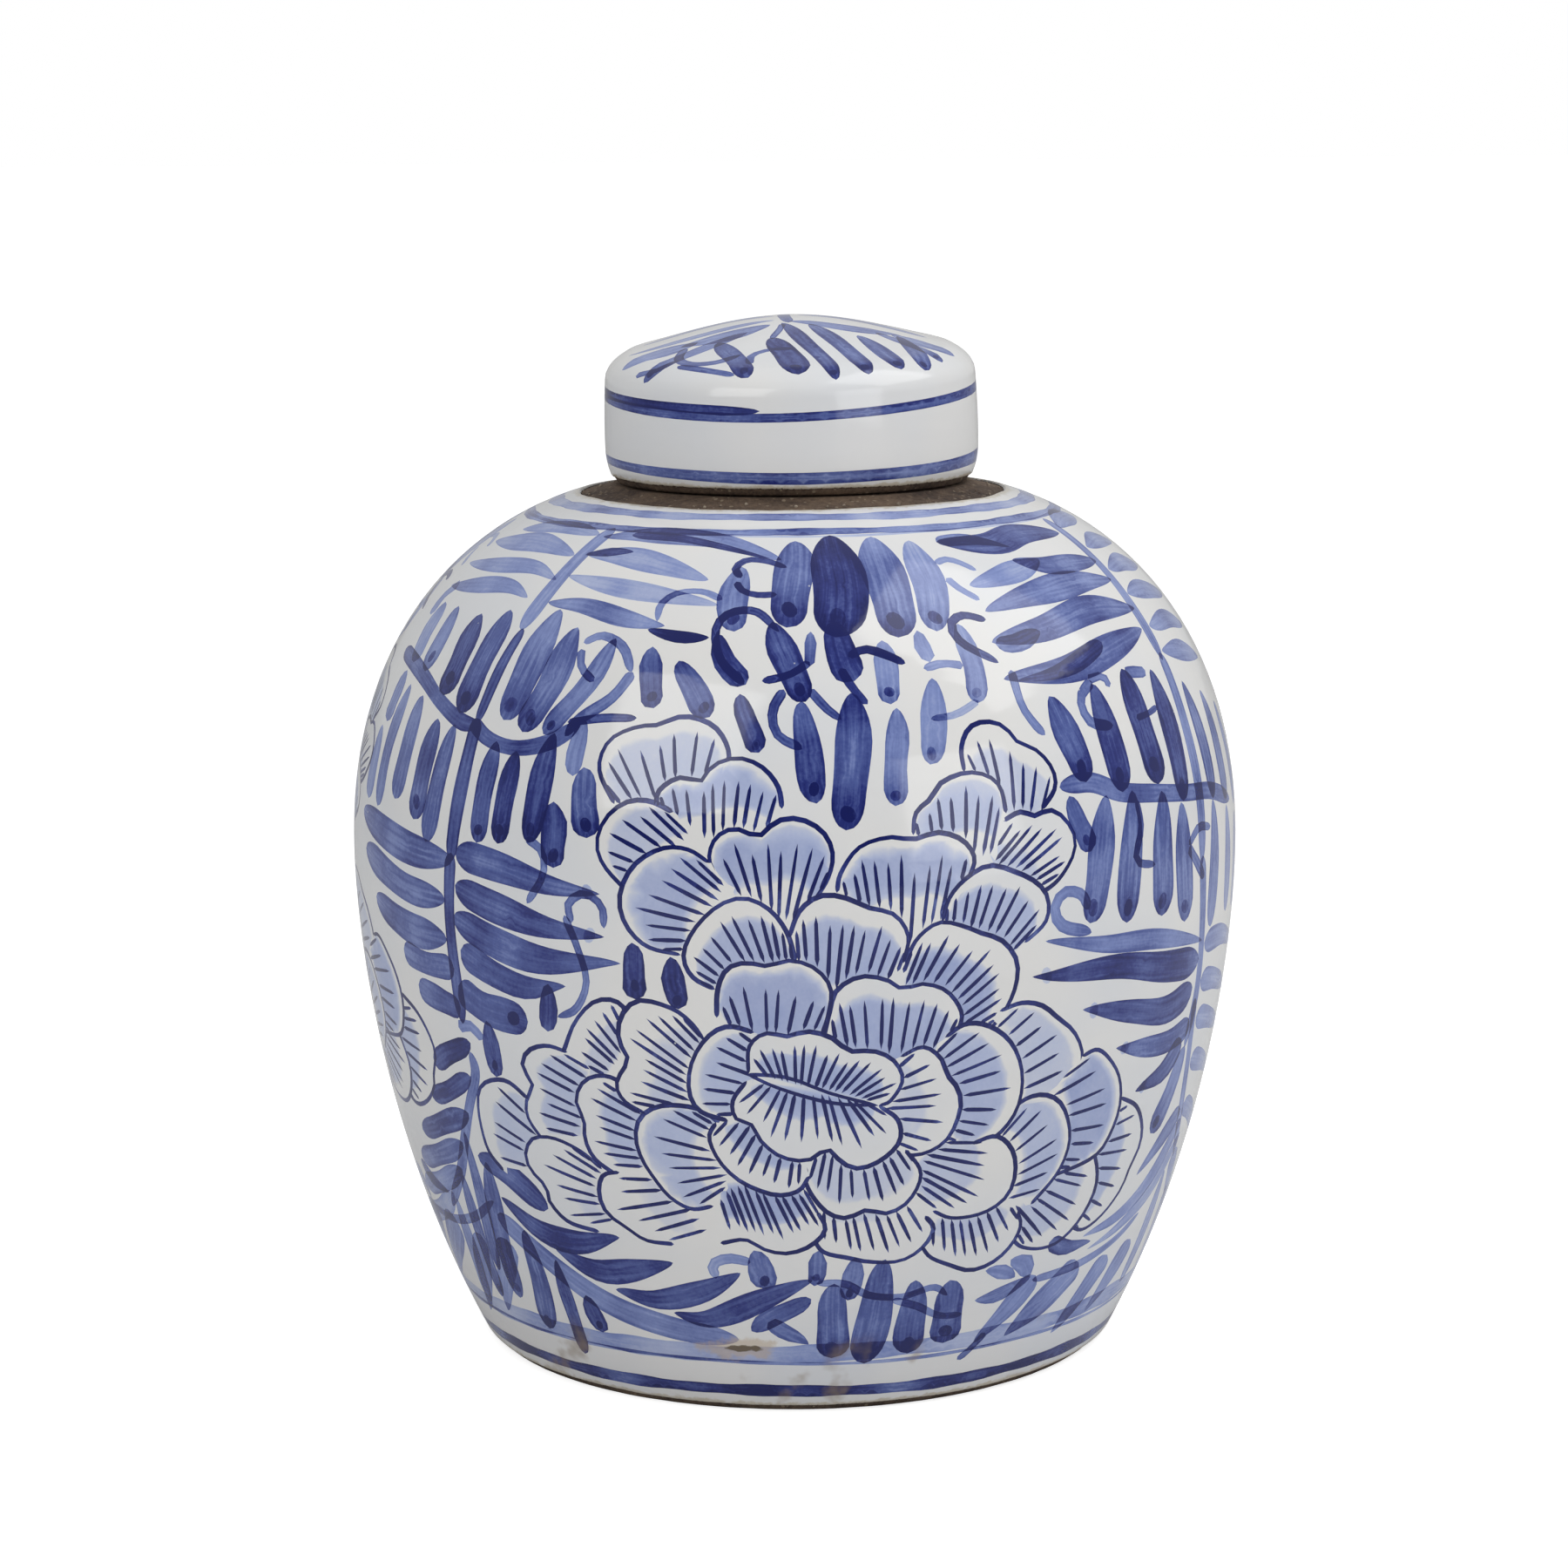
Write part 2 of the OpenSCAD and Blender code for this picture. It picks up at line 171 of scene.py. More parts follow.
# Outer petals come first; each covers what is behind it.
PEONY = [
    petal([(-22, 140), (-24.5, 147), (-23.5, 153), (-20, 156), (-17.5, 156.5), (-14, 158.5), (-10, 156.5),
           (-8, 151), (-9, 146)], ((-20, 138), (-10, 141)), 9, (0.15, 0.8), 0.16),
    petal([(31, 137), (33.3, 141), (33.3, 145), (31.5, 149), (28.7, 151.5), (27.5, 154.5), (25, 156),
           (22.5, 155), (21, 151), (21, 146)], ((31, 135), (24, 136)), 8, (0.1, 0.7), 0.16),
    petal([(-16.5, 139), (-16.5, 143), (-14, 146), (-11.2, 145.5), (-10, 148.5), (-7, 150.2), (-4, 148.5),
           (-2, 144.5), (-1.5, 140)], ((-15, 133), (-3, 135)), 10, (0.45, 0.95), 0.26),
    petal([(30.5, 120), (33, 122.5), (35.2, 127), (35.5, 131), (34, 135), (32, 136.8), (30, 135.8),
           (28, 137),
           (25.5, 135.5)], ((29, 117), (22, 130)), 10, (0.0, 0.35), 0.16),
    petal([(26, 137), (25.5, 142.5), (23.5, 145.3), (20.5, 145.8), (17.5, 143.8), (16.5, 141.2),
           (14.5, 138.5),
           (14, 134)], ((24, 128), (15, 128)), 8, (0.4, 0.9), 0.22),
    petal([(-20, 122.5), (-23, 127.5), (-24, 132), (-23, 137), (-20.5, 140.5), (-17.5, 141), (-14.5, 139)],
          ((-18, 124), (-11, 134)), 8, (0.3, 0.8), 0.18),
    petal([(-43, 56), (-45.3, 60), (-45.8, 66), (-45.5, 71), (-44.5, 75), (-42, 77.5), (-39, 78),
           (-36, 75)],
          ((-37, 58), (-34, 72)), 6, (0.05, 0.7), 0.16),
    petal([(41, 42.5), (44.5, 40), (48.5, 42.5), (51.5, 47.5), (52.3, 52), (53.6, 57), (53, 62),
           (50.5, 67.5),
           (46.5, 71)], ((41, 46), (42, 66)), 9, (0.1, 0.6), 0.22),
    petal([(4.8, 123), (5.3, 127), (7.5, 132), (11, 133.8), (14, 133.2), (17, 134.3), (20, 132.5),
           (21.5, 128.5),
           (20.5, 124)], ((9, 112), (17, 112)), 12, (0.5, 0.95), 0.28),
    petal([(-8.5, 125), (-10, 129.5), (-9.3, 134), (-7, 136), (-4.2, 134.6), (-2.2, 137.5), (0.5, 138),
           (3.2, 135.5), (4.4, 131), (3.8, 126), (2, 121)], ((-5, 117), (1, 117)), 11, (0.5, 0.92), 0.3),
    petal([(-13.5, 110), (-17.5, 111.3), (-20, 115), (-21, 120), (-20.3, 125), (-18.5, 129), (-15.5, 131.7),
           (-12.5, 131.5), (-10, 129)], ((-12, 112), (-7, 124)), 9, (0.3, 0.95), 0.28),
    petal([(28, 110), (31, 114), (31.2, 119), (29.5, 122.5), (27, 124.8), (23.5, 126.8), (20.5, 124.7),
           (18.3, 121), (17.3, 116)], ((25, 105), (18, 110)), 11, (0.25, 0.75), 0.24),
    petal([(-0.8, 114), (0.5, 119.5), (3, 122.5), (6, 121.8), (8.5, 119.7), (11.5, 118.2), (13.2, 113.5),
           (12.6, 108)], ((1, 101), (10, 101)), 11, (0.2, 0.75), 0.26),
    petal([(-9.5, 103), (-12.2, 105.5), (-13.2, 110), (-11.8, 115.5), (-9, 120.3), (-6, 122), (-3, 119.7),
           (-1, 115), (0, 109)], ((-7, 102), (0, 104)), 12, (0.2, 0.75), 0.26),
    petal([(23, 91), (25.5, 95.5), (27, 101), (27, 106.5), (25, 111), (22.3, 113), (20, 114.8), (17, 116),
           (14.3, 113), (12.8, 108)], ((19, 93), (12, 99)), 13, (0.1, 0.65), 0.3),
    petal([(31, 42), (33, 39.5), (36.5, 38), (40, 38.7), (43, 42.5), (44.8, 48), (44.8, 53), (43, 59),
           (40, 62.5), (37, 64)], ((30, 50), (33, 62)), 11, (0.2, 0.7), 0.18),
    petal([(34.5, 74), (37.5, 78), (38, 83.5), (36.2, 89), (33.5, 92.7), (31, 96), (28, 97.2), (25, 96)],
          ((27, 74), (24, 90)), 7, (0.3, 0.85), 0.16),
    petal([(36, 56), (43.5, 58.5), (46, 64), (46.6, 70), (45.5, 76), (43, 81), (40.5, 83.8), (38, 83)],
          ((33, 60), (33, 76)), 8, (0.35, 0.85), 0.3),
    petal([(-21, 95), (-20.8, 98), (-22.5, 99.6), (-25, 98.5), (-27.5, 94), (-29, 89), (-30, 84.5),
           (-28.5, 81)],
          ((-20, 92), (-24, 81)), 9, (0.1, 0.5), 0.14),
    petal([(-34.5, 65.5), (-36.5, 70.5), (-36.2, 75), (-34.8, 78.5), (-36.3, 82), (-35, 86), (-32, 87.8),
           (-29, 87)], ((-28, 67), (-26, 84)), 8, (0.1, 0.7), 0.18),
    petal([(3, 91), (4, 99), (4.8, 103), (7.5, 105.6), (10.5, 104.8), (12.5, 102.7), (15, 103.4),
           (18, 101.5),
           (20, 96.5), (19.5, 92)], ((6, 84), (15, 84)), 12, (0.15, 0.75), 0.28),
    petal([(-9.4, 97), (-9.2, 103), (-8, 107.5), (-5.5, 108.8), (-3.3, 108), (-1, 109.3), (2, 107.8),
           (4, 103.5),
           (3.8, 98), (3, 93)], ((-7, 90), (2, 90)), 9, (0.2, 0.85), 0.3, 0.5),
    petal([(33, 50), (36.7, 56.5), (37.9, 63), (37, 69), (35, 73.8), (32, 76), (29, 75), (27, 71)],
          ((28, 52), (26, 68)), 8, (0.4, 0.85), 0.22),
    petal([(17, 43.5), (18.5, 40.5), (21.5, 38), (25, 35.8), (28.5, 37), (31, 40.5), (32, 45), (31, 49)],
          ((18, 51), (28, 52)), 9, (0.15, 0.45), 0.18),
    petal([(-28, 45.5), (-33, 46.8), (-35.5, 51), (-35.6, 54.5), (-37.5, 57.5), (-38.2, 61), (-36.5, 65.5),
           (-33, 66.7), (-29, 64.7), (-26, 61)], ((-24, 50), (-24, 60)), 9, (0.3, 0.6), 0.1),
    petal([(-24, 60), (-27, 63.5), (-28, 68.5), (-27.6, 72), (-28.6, 76), (-27, 81), (-24, 82.7),
           (-21, 81)],
          ((-19, 62), (-19, 78)), 9, (0.1, 0.6), 0.2),
    petal([(-17, 44.5), (-21, 44.8), (-23.5, 47.3), (-26.3, 50.5), (-27, 55), (-26, 59.5), (-23.5, 60.8)],
          ((-12, 48), (-15, 62)), 6, (0.2, 0.5), 0.1),
    petal([(-19, 75), (-21.7, 77.5), (-22.6, 81), (-21.4, 85), (-20.7, 87), (-21.8, 91), (-21.3, 96),
           (-19, 99.8), (-15, 98.7), (-12.5, 95.7), (-11, 92)], ((-12, 74),
           (-9, 90)), 12, (0.35, 0.6), 0.16),
    petal([(19.5, 66.5), (23, 66.3), (26, 68), (28.3, 72.5), (29, 78), (28.4, 84), (26.5, 89.5),
           (23.5, 93.2),
           (20.5, 94), (18, 91.5)], ((19, 70), (16, 88)), 10, (0.1, 0.75), 0.26),
    petal([(18, 52), (21, 49.7), (25.5, 50), (28.7, 53), (29.6, 58), (28.7, 64), (26, 68), (22.5, 67)],
          ((13, 60), (18, 69)), 9, (0.0, 0.55), 0.18, 0.55),
    petal([(2, 47), (3.5, 43.5), (7, 41.8), (9.8, 40.6), (14, 40.3), (17, 43), (18.4, 47.5), (17, 51)],
          ((3, 56), (14, 58)), 10, (0.1, 0.35), 0.14),
    petal([(-10.5, 45.5), (-7, 46.6), (-4.5, 44.2), (-1.5, 43.3), (1.5, 45), (3.6, 49), (2.5, 53.5)],
          ((-11, 60), (0, 62)), 12, (0.1, 0.55), 0.3),
    petal([(-11, 54.5), (-14, 53.5), (-16.8, 56), (-18.8, 60.5), (-20.2, 65), (-20.6, 70), (-19.5, 74.5),
           (-16.5, 77.2), (-12, 76.8), (-9, 73)], ((-9, 59), (-8, 73)), 10, (0.45, 0.95), 0.22),
    petal([(11, 66.5), (13.5, 65.8), (16.5, 66), (19.3, 69), (20.6, 75.5), (20, 80), (18.6, 83), (17.6, 87),
           (15.3, 89.8), (12.5, 88)], ((11, 69), (10.5, 84)), 9, (0.0, 0.5), 0.12),
    petal([(1.2, 64), (1, 61), (2, 57), (4, 53), (6.5, 51.7), (9, 53.4), (11.5, 52.3), (14, 54), (15.6, 58),
           (15.8, 62), (14, 66.5)], ((3, 70), (12, 70)), 11, (0.1, 0.8), 0.14),
    petal([(-10, 74), (-11, 70.5), (-10, 65.5), (-8, 61.5), (-5.5, 59), (-2.5, 57.5), (0.2, 58.6),
           (1.5, 62)],
          ((-7, 75), (0, 70)), 9, (0.0, 0.5), 0.24),
    petal([(-8.5, 74.5), (-12, 76.5), (-13.2, 81), (-12.6, 87.5), (-10.5, 93), (-8, 95.2), (-5, 94)],
          ((-5, 76), (-4, 90)), 8, (0.1, 0.8), 0.2),
    petal([(10, 77.5), (12.5, 74), (12.8, 69), (10.5, 65), (7.5, 63.4), (5, 65.8), (3.8, 68.5), (1.5, 65.6),
           (-2, 66.4), (-4.5, 70), (-5.6, 73.7), (-7.5, 75), (-7.8, 79), (-6, 83.5)],
          ((9, 78.5), (-5, 83.5)), 13, (0.0, 0.35), 0.3, 0.62),
    petal([(-5.8, 85), (-5.6, 91), (-3.6, 93.9), (-1, 93.2), (1.2, 94.3), (4, 93), (6.3, 89.9), (9, 89.7),
           (11.6, 87.5), (12.9, 83), (11.5, 78.5), (10, 77.5)], ((-4, 84.5),
           (9, 78.5)), 16, (0.0, 0.55), 0.26, 0.62),
]
SEAM = [[(-6, 85), (-1, 84.2), (4, 80.7), (10, 77.5)], [(-6, 85), (-2, 81.8), (4, 78.6), (10, 77.5)]]

# Shapes of a stroke: how far its start and its end taper, and how round each is.
LEAF = (0.5, 0.5, 0.62, 0.62)
DROP = (0.42, 0.2, 0.55, 0.5)
BLADE = (0.14, 0.75, 0.5, 0.72)
BAR = (0.16, 0.16, 0.5, 0.5)
LINE = (0.08, 0.14, 0.5, 0.6)
OAR = (0.3, 0.25, 0.55, 0.5)
HATCH = (0.06, 0.32, 0.5, 0.55)


def stroke(shape, path, width, tone, pool=0.0, fade=0.0):
    """One pull of the brush. pool darkens its end, and fade makes its start that much paler."""
    return dict(shape=shape, path=path, width=width, tone=tone, pool=pool, fade=fade)


def strokes(*rows):
    """Strokes from rows that hold what stroke() takes."""
    return [stroke(*row) for row in rows]


SPRAY_OVER_PEONY = strokes(
    (DROP, [(0.5, 203.5), (0, 190), (-1, 178.5)], 8.2, 0.62, 0.35, 0.1),
    (DROP, [(7.5, 205.5), (7.8, 192), (6, 176)], 10.8, 0.86, 0.2),
    (DROP, [(6, 180), (6.5, 172), (8, 166)], 6.5, 0.8),
    (DROP, [(15.7, 204.5), (15.5, 190), (15, 175.5)], 9.2, 0.6, 0.4, 0.25),
    (DROP, [(23, 202.5), (22.5, 190), (21, 176.5)], 7.2, 0.45, 0.4, 0.2),
    (DROP, [(-9, 195), (-9.3, 186), (-8.5, 177.5)], 6.2, 0.55, 0.4, 0.25),
    (DROP, [(-20, 173.5), (-19.5, 167), (-18.2, 160)], 5.0, 0.66, 0.25),
    (DROP, [(-15.8, 170.5), (-13.5, 165), (-10.7, 158.5)], 5.2, 0.66, 0.25),
    (DROP, [(-11, 177), (-9.5, 171), (-6.3, 165.5)], 4.6, 0.72, 0.25),
    (DROP, [(-7, 163.5), (-6, 158), (-4.3, 151.3)], 4.4, 0.8, 0.2),
    (DROP, [(-3, 180), (-1, 171), (1.5, 161.8)], 6.0, 0.8, 0.25),
    (DROP, [(1, 162), (1.6, 152), (2.6, 141)], 5.6, 0.68, 0.3),
    (DROP, [(7.4, 163.5), (7.2, 150), (6, 135.5)], 7.4, 0.68, 0.25),
    (DROP, [(13.2, 160), (12.6, 150), (12, 140)], 5.0, 0.5, 0.2),
    (DROP, [(12.5, 175), (12.5, 168), (12.5, 160.8)], 5.0, 0.42, 0.3),
    (DROP, [(18.6, 166), (18, 157), (16.7, 148)], 5.4, 0.42, 0.2),
    (DROP, [(18, 177), (18.3, 173), (18.8, 169.5)], 3.4, 0.45),
    (DROP, [(24.6, 178), (25, 169), (24.3, 160)], 5.0, 0.46, 0.1),
    (DROP, [(2.5, 177.5), (2.3, 173), (2.2, 169.5)], 2.4, 0.6),
    (LEAF, [(-21.5, 177.5), (-17, 176), (-12, 176)], 3.0, 0.9),
    (LINE, [(-8.6, 191.5), (-9.8, 194.5), (-8, 197), (-4.5, 196.6), (-1, 194.7)], 1.7, 0.78),
    (LINE, [(-9.3, 190.5), (-8, 188), (-5.5, 186.8), (-2.5, 187)], 1.6, 0.75),
    (LINE, [(-6.5, 165.5), (-10, 171), (-11.2, 178), (-9.5, 182), (-5.5, 182.4),
            (-2, 177.5)], 1.9, 0.82),
    (LINE, [(2.2, 170.5), (-0.5, 167.7), (-4.2, 166.3)], 1.7, 0.8),
    (LINE, [(-1.3, 164.5), (-2.7, 160), (-2, 155), (1, 152)], 2.0, 0.75),
    (LINE, [(2, 164.5), (4, 160.5), (6, 158)], 1.8, 0.74),
    (LINE, [(7.5, 171.5), (10, 173), (13, 171.5), (15.3, 169.5)], 2.0, 0.85),
    (LINE, [(6.3, 169), (7.5, 165), (9.5, 161)], 1.8, 0.8),
    (LINE, [(29.5, 178.5), (26, 180), (23.6, 178), (24.3, 173.5), (29, 168.3)], 2.0, 0.84),
    (LINE, [(23.5, 168.3), (20.5, 169), (17.7, 168.2)], 1.8, 0.5),
    (LINE, [(24.5, 160.5), (21, 158), (17.5, 157.3)], 1.5, 0.35),
    (LINE, [(-11, 185.5), (-14.5, 187.5), (-18.5, 187), (-20.6, 184), (-20.4, 179.5)], 1.6, 0.4),
    (LINE, [(25.5, 194.5), (28, 195.5), (30.5, 194), (32.5, 191.5)], 1.7, 0.36),
    (LINE, [(26, 190), (27.7, 186.5), (30, 183.5)], 1.8, 0.38),
)

SPRAY_LEFT = strokes(
    (BAR, [(-40, 206.5), (-41.3, 197), (-42.3, 186), (-43.3, 175)], 4.2, 0.42),
    (BAR, [(-43, 175.5), (-44, 165), (-45, 153.5)], 3.0, 0.75),
    (LINE, [(-45, 154.5), (-45.5, 141), (-46.3, 124)], 4.2, 0.68),
    (LINE, [(-46.3, 126), (-46.7, 112), (-46.4, 99), (-46, 89)], 3.6, 0.72),
    (LEAF, [(-69, 201.5), (-58, 204.5), (-50, 205), (-42, 203.5)], 5.2, 0.36),
    (LEAF, [(-74, 196), (-60, 198.5), (-52, 198), (-43, 196)], 6.4, 0.4),
    (LEAF, [(-74, 188.5), (-60, 190.5), (-50, 191), (-42.5, 188.5)], 4.6, 0.4),
    (LEAF, [(-72, 182), (-60, 184.5), (-52, 185), (-46, 183)], 4.6, 0.42),
    (LEAF, [(-40.5, 203), (-30, 205), (-15, 203.5), (-2, 197)], 6.2, 0.46),
    (BLADE, [(-34, 204.5), (-20, 203.5), (-4, 197.5)], 2.8, 0.5),
    (LEAF, [(-40.5, 197), (-32, 197.3), (-23, 194.5), (-14, 190.8)], 6.2, 0.36),
    (LEAF, [(-40.5, 196.5), (-36, 198), (-30.5, 198.5)], 2.8, 0.55),
    (LEAF, [(-40.5, 190), (-32, 188.5), (-22, 186.5), (-11.5, 184)], 4.8, 0.32),
    (LEAF, [(-41, 182.5), (-34, 182.3), (-26, 180), (-19, 178.5)], 4.6, 0.5),
    (LINE, [(-69, 183), (-71.5, 179), (-71, 174)], 3.4, 0.36),
    (DROP, [(-68.5, 178), (-67.5, 170), (-66.5, 163)], 6.6, 0.4),
    (DROP, [(-62.5, 178), (-61.5, 170), (-61.3, 162)], 6.0, 0.5, 0.3),
    (DROP, [(-54.3, 177.5), (-53.8, 168), (-53.8, 158)], 7.2, 0.74, 0.3),
    (DROP, [(-48, 179.5), (-48, 167), (-49, 155)], 7.2, 0.74, 0.25, 0.2),
    (DROP, [(-37.8, 181), (-38.5, 168), (-40.3, 155)], 7.8, 0.6, 0.1, 0.2),
    (DROP, [(-33, 177), (-34, 165), (-36.7, 153)], 7.0, 0.62, 0.2, 0.15),
    (DROP, [(-26, 175), (-28.5, 164), (-33.3, 153)], 4.8, 0.5, 0.3),
    (LINE, [(-31, 173.5), (-28.2, 175.5), (-24.5, 173), (-22.2, 167.5)], 2.0, 0.5),
    (LINE, [(-22, 167.5), (-24.5, 161.5), (-28.5, 156.5), (-30, 153)], 2.6, 0.55),
    (LINE, [(-31, 172), (-30, 168), (-27.5, 165)], 1.8, 0.5),
    (LINE, [(-73, 165), (-66, 163), (-60, 160.3), (-54, 156.5), (-48, 153.3),
            (-44, 153.3)], 3.6, 0.66),
    (LINE, [(-46, 154), (-42, 150.7), (-37, 149.5), (-32, 151.5), (-28, 156)], 3.4, 0.7),
    (LINE, [(-30, 156), (-25, 157.3), (-20.3, 157.8)], 1.8, 0.8),
    (DROP, [(-67.5, 161), (-68, 155), (-68.3, 149)], 5.4, 0.5),
    (DROP, [(-64, 158.5), (-65, 145), (-65.8, 131)], 5.6, 0.5),
    (DROP, [(-59, 157), (-59.3, 146), (-60.3, 134)], 6.6, 0.55),
    (DROP, [(-53.3, 153), (-53.8, 142), (-54.8, 131)], 6.8, 0.64, 0.3),
    (DROP, [(-49.2, 152.5), (-50.2, 140), (-51.7, 127)], 5.8, 0.62),
    (DROP, [(-40.6, 150.5), (-41.2, 140), (-41.8, 129)], 5.4, 0.64, 0.3),
    (DROP, [(-37, 149), (-37.6, 139), (-38.3, 129.5)], 5.4, 0.8, 0.25),
    (DROP, [(-31.6, 153.5), (-32.6, 142), (-33.6, 130.5)], 5.8, 0.8, 0.2),
    (DROP, [(-30.3, 139.5), (-30, 133), (-29.8, 126)], 6.2, 0.74, 0.3),
    (DROP, [(-27.6, 157), (-28, 151), (-28, 145)], 4.0, 0.5),
    (DROP, [(-26.6, 147), (-26, 140), (-25.4, 132.7)], 6.2, 0.62, 0.35),
    (DROP, [(-69.7, 148), (-69.8, 140), (-70, 131.5)], 5.8, 0.42),
    (OAR, [(-46, 124.5), (-55, 124.5), (-63, 126), (-72, 128.5)], 7.0, 0.6),
    (OAR, [(-47.5, 115.5), (-55, 116), (-62, 118), (-70, 120.5)], 6.8, 0.6, 0.0),
    (OAR, [(-47.5, 107), (-54, 107), (-60, 108.7), (-66, 111)], 7.0, 0.6),
    (BAR, [(-58, 102), (-52, 100.5), (-46.5, 101)], 5.6, 0.62),
    (BAR, [(-55, 95), (-50, 93), (-46, 92.5)], 5.8, 0.62),
    (BLADE, [(-45.5, 126), (-37, 124.5), (-30, 122.5), (-23.5, 121.5)], 6.4, 0.66, 0.2),
    (BLADE, [(-45.5, 119.3), (-38, 116), (-31, 113.3), (-23, 112.7)], 6.6, 0.7, 0.15),
    (BLADE, [(-46, 112.5), (-38, 108.5), (-31, 106.5), (-21, 107.4)], 7.0, 0.66),
    (BLADE, [(-45, 105.5), (-39, 101.8), (-34, 100), (-28.5, 101.4)], 6.6, 0.68),
    (BAR, [(-46, 97.5), (-41, 93.5), (-34.5, 92.5)], 7.4, 0.62, 0.3),
    (LINE, [(-27.3, 115), (-27.7, 119), (-25.5, 121.3), (-23.3, 119), (-23, 114.5)], 1.8, 0.62),
    (LINE, [(-28.3, 116.5), (-26.6, 110), (-25.6, 103), (-27.2, 97), (-30, 94.5)], 1.7, 0.6),
    (LINE, [(-34, 131.5), (-31.5, 129), (-31.3, 124), (-33.6, 118)], 1.8, 0.55),
    (DROP, [(-31, 101.5), (-31.3, 96), (-31.6, 91)], 4.4, 0.75),
    (DROP, [(-41.5, 91), (-41, 84.5), (-41, 78.5)], 4.8, 0.7, 0.2),
    (LINE, [(-47, 88), (-44.5, 89), (-42.5, 86.5)], 2.6, 0.45),
    (LINE, [(-45.3, 83), (-45, 78), (-47.5, 70), (-50, 62), (-53.5, 52), (-60, 41)], 3.0, 0.5),
    (OAR, [(-45, 85), (-49, 82), (-54, 77.3)], 5.2, 0.78),
    (OAR, [(-46, 77), (-50.5, 73), (-56.5, 68.7)], 4.8, 0.76),
    (OAR, [(-48, 68), (-55, 63), (-63, 58.5)], 5.4, 0.7),
    (OAR, [(-51, 60), (-58, 54.5), (-67.5, 50)], 5.4, 0.6),
    (OAR, [(-53, 53), (-61, 46.5), (-71, 42)], 5.4, 0.45),
    (OAR, [(-58, 45), (-65, 38), (-75, 33)], 5.4, 0.35),
    (DROP, [(-50, 63), (-50, 45), (-51.5, 28)], 4.0, 0.56),
    (DROP, [(-53.5, 52), (-53.5, 36), (-54, 20)], 4.4, 0.56, 0.1),
    (DROP, [(-57.5, 44), (-58, 31), (-60, 16)], 5.0, 0.42),
    (DROP, [(-46.5, 57), (-47.5, 40), (-48.3, 22)], 6.0, 0.58, 0.15),
    (DROP, [(-41.8, 42), (-41.8, 29), (-43.4, 15.5)], 5.6, 0.64, 0.25),
    (DROP, [(-37, 36), (-36.8, 23), (-37, 10.7)], 3.8, 0.74, 0.1),
    (DROP, [(-33, 28), (-32.3, 23), (-31.7, 18.3)], 4.6, 0.66, 0.3),
    (OAR, [(-48, 58), (-42, 55), (-36, 49)], 6.4, 0.66),
    (LEAF, [(-45, 49), (-39, 43), (-32, 42), (-25, 44.7)], 6.2, 0.78),
    (LEAF, [(-36.5, 39), (-30, 35.5), (-24, 36.5), (-17.5, 39.8)], 6.0, 0.72),
    (LEAF, [(-27.3, 31), (-21, 29.5), (-14, 33), (-8, 38.2)], 5.8, 0.7),
    (LEAF, [(-18.5, 26.7), (-13, 26), (-5, 31.5), (2, 36.5)], 5.8, 0.7),
    (OAR, [(-7, 23), (-3, 27.5), (1.8, 31.7)], 4.4, 0.66),
    (LINE, [(-47, 44), (-40, 36.5), (-30, 27.5), (-20, 23), (-9, 20.5)], 6.0, 0.46),
    (DROP, [(-19.5, 112), (-19.2, 100)], 5.0, 0.8, 0.2),
    (DROP, [(-14.8, 109.5), (-14, 98.5)], 4.8, 0.84, 0.2),
)

SPRAY_BELOW = strokes(
    (DROP, [(-6, 44), (-5, 39), (-4.5, 34.3)], 5.4, 0.56, 0.35),
    (LINE, [(-6.5, 41), (-9.5, 41.7), (-11.8, 40), (-11.5, 36.5)], 2.4, 0.45),
    (DROP, [(2.8, 44), (2.6, 39), (2.2, 35)], 3.8, 0.62, 0.3),
    (DROP, [(7.8, 42), (7.6, 36), (7, 31)], 4.4, 0.58, 0.35),
    (DROP, [(5, 35.5), (5, 25), (5, 15.5)], 6.8, 0.6, 0.35),
    (DROP, [(12, 41), (11, 27), (10.2, 13.5)], 7.4, 0.62, 0.35),
    (DROP, [(16.7, 35), (16.8, 25), (17, 15.3)], 6.6, 0.62, 0.25),
    (DROP, [(22, 34), (22.7, 26), (22.7, 17)], 7.2, 0.58, 0.4),
    (LINE, [(2.5, 35.7), (6.5, 35.3), (10, 32), (15, 31), (19.5, 32.7), (22, 30)], 1.8, 0.5),
    (LINE, [(13.5, 30.5), (17.5, 28), (21, 25), (25, 24.3)], 1.8, 0.42),
    (BLADE, [(-4.5, 25.5), (-2, 23), (1.5, 19.5)], 4.2, 0.6),
    (LEAF, [(27.5, 35), (30, 34.3), (33, 31.8)], 3.6, 0.5),
    (LEAF, [(31.5, 36.7), (34, 35), (35.8, 31)], 4.8, 0.45),
    (LEAF, [(26.7, 27.5), (31, 28), (36, 31)], 3.8, 0.5),
    (BLADE, [(37, 31), (33, 23.5), (28.3, 15.5)], 6.0, 0.46),
    (LINE, [(30, 18), (28, 14), (26, 11.5)], 1.8, 0.6),
    (BLADE, [(46, 31), (40, 23.5), (34, 15.7)], 8.4, 0.46),
    (BLADE, [(53.5, 30), (49.5, 21), (45, 12.5)], 6.6, 0.44),
    (BLADE, [(60.5, 31), (57, 23), (53, 15)], 6.8, 0.4),
    (LINE, [(36.5, 30), (46, 30.7), (54, 33.5), (60, 38)], 2.2, 0.42),
    (BLADE, [(38, 39), (42, 36.5), (47.3, 36)], 4.0, 0.62),
)

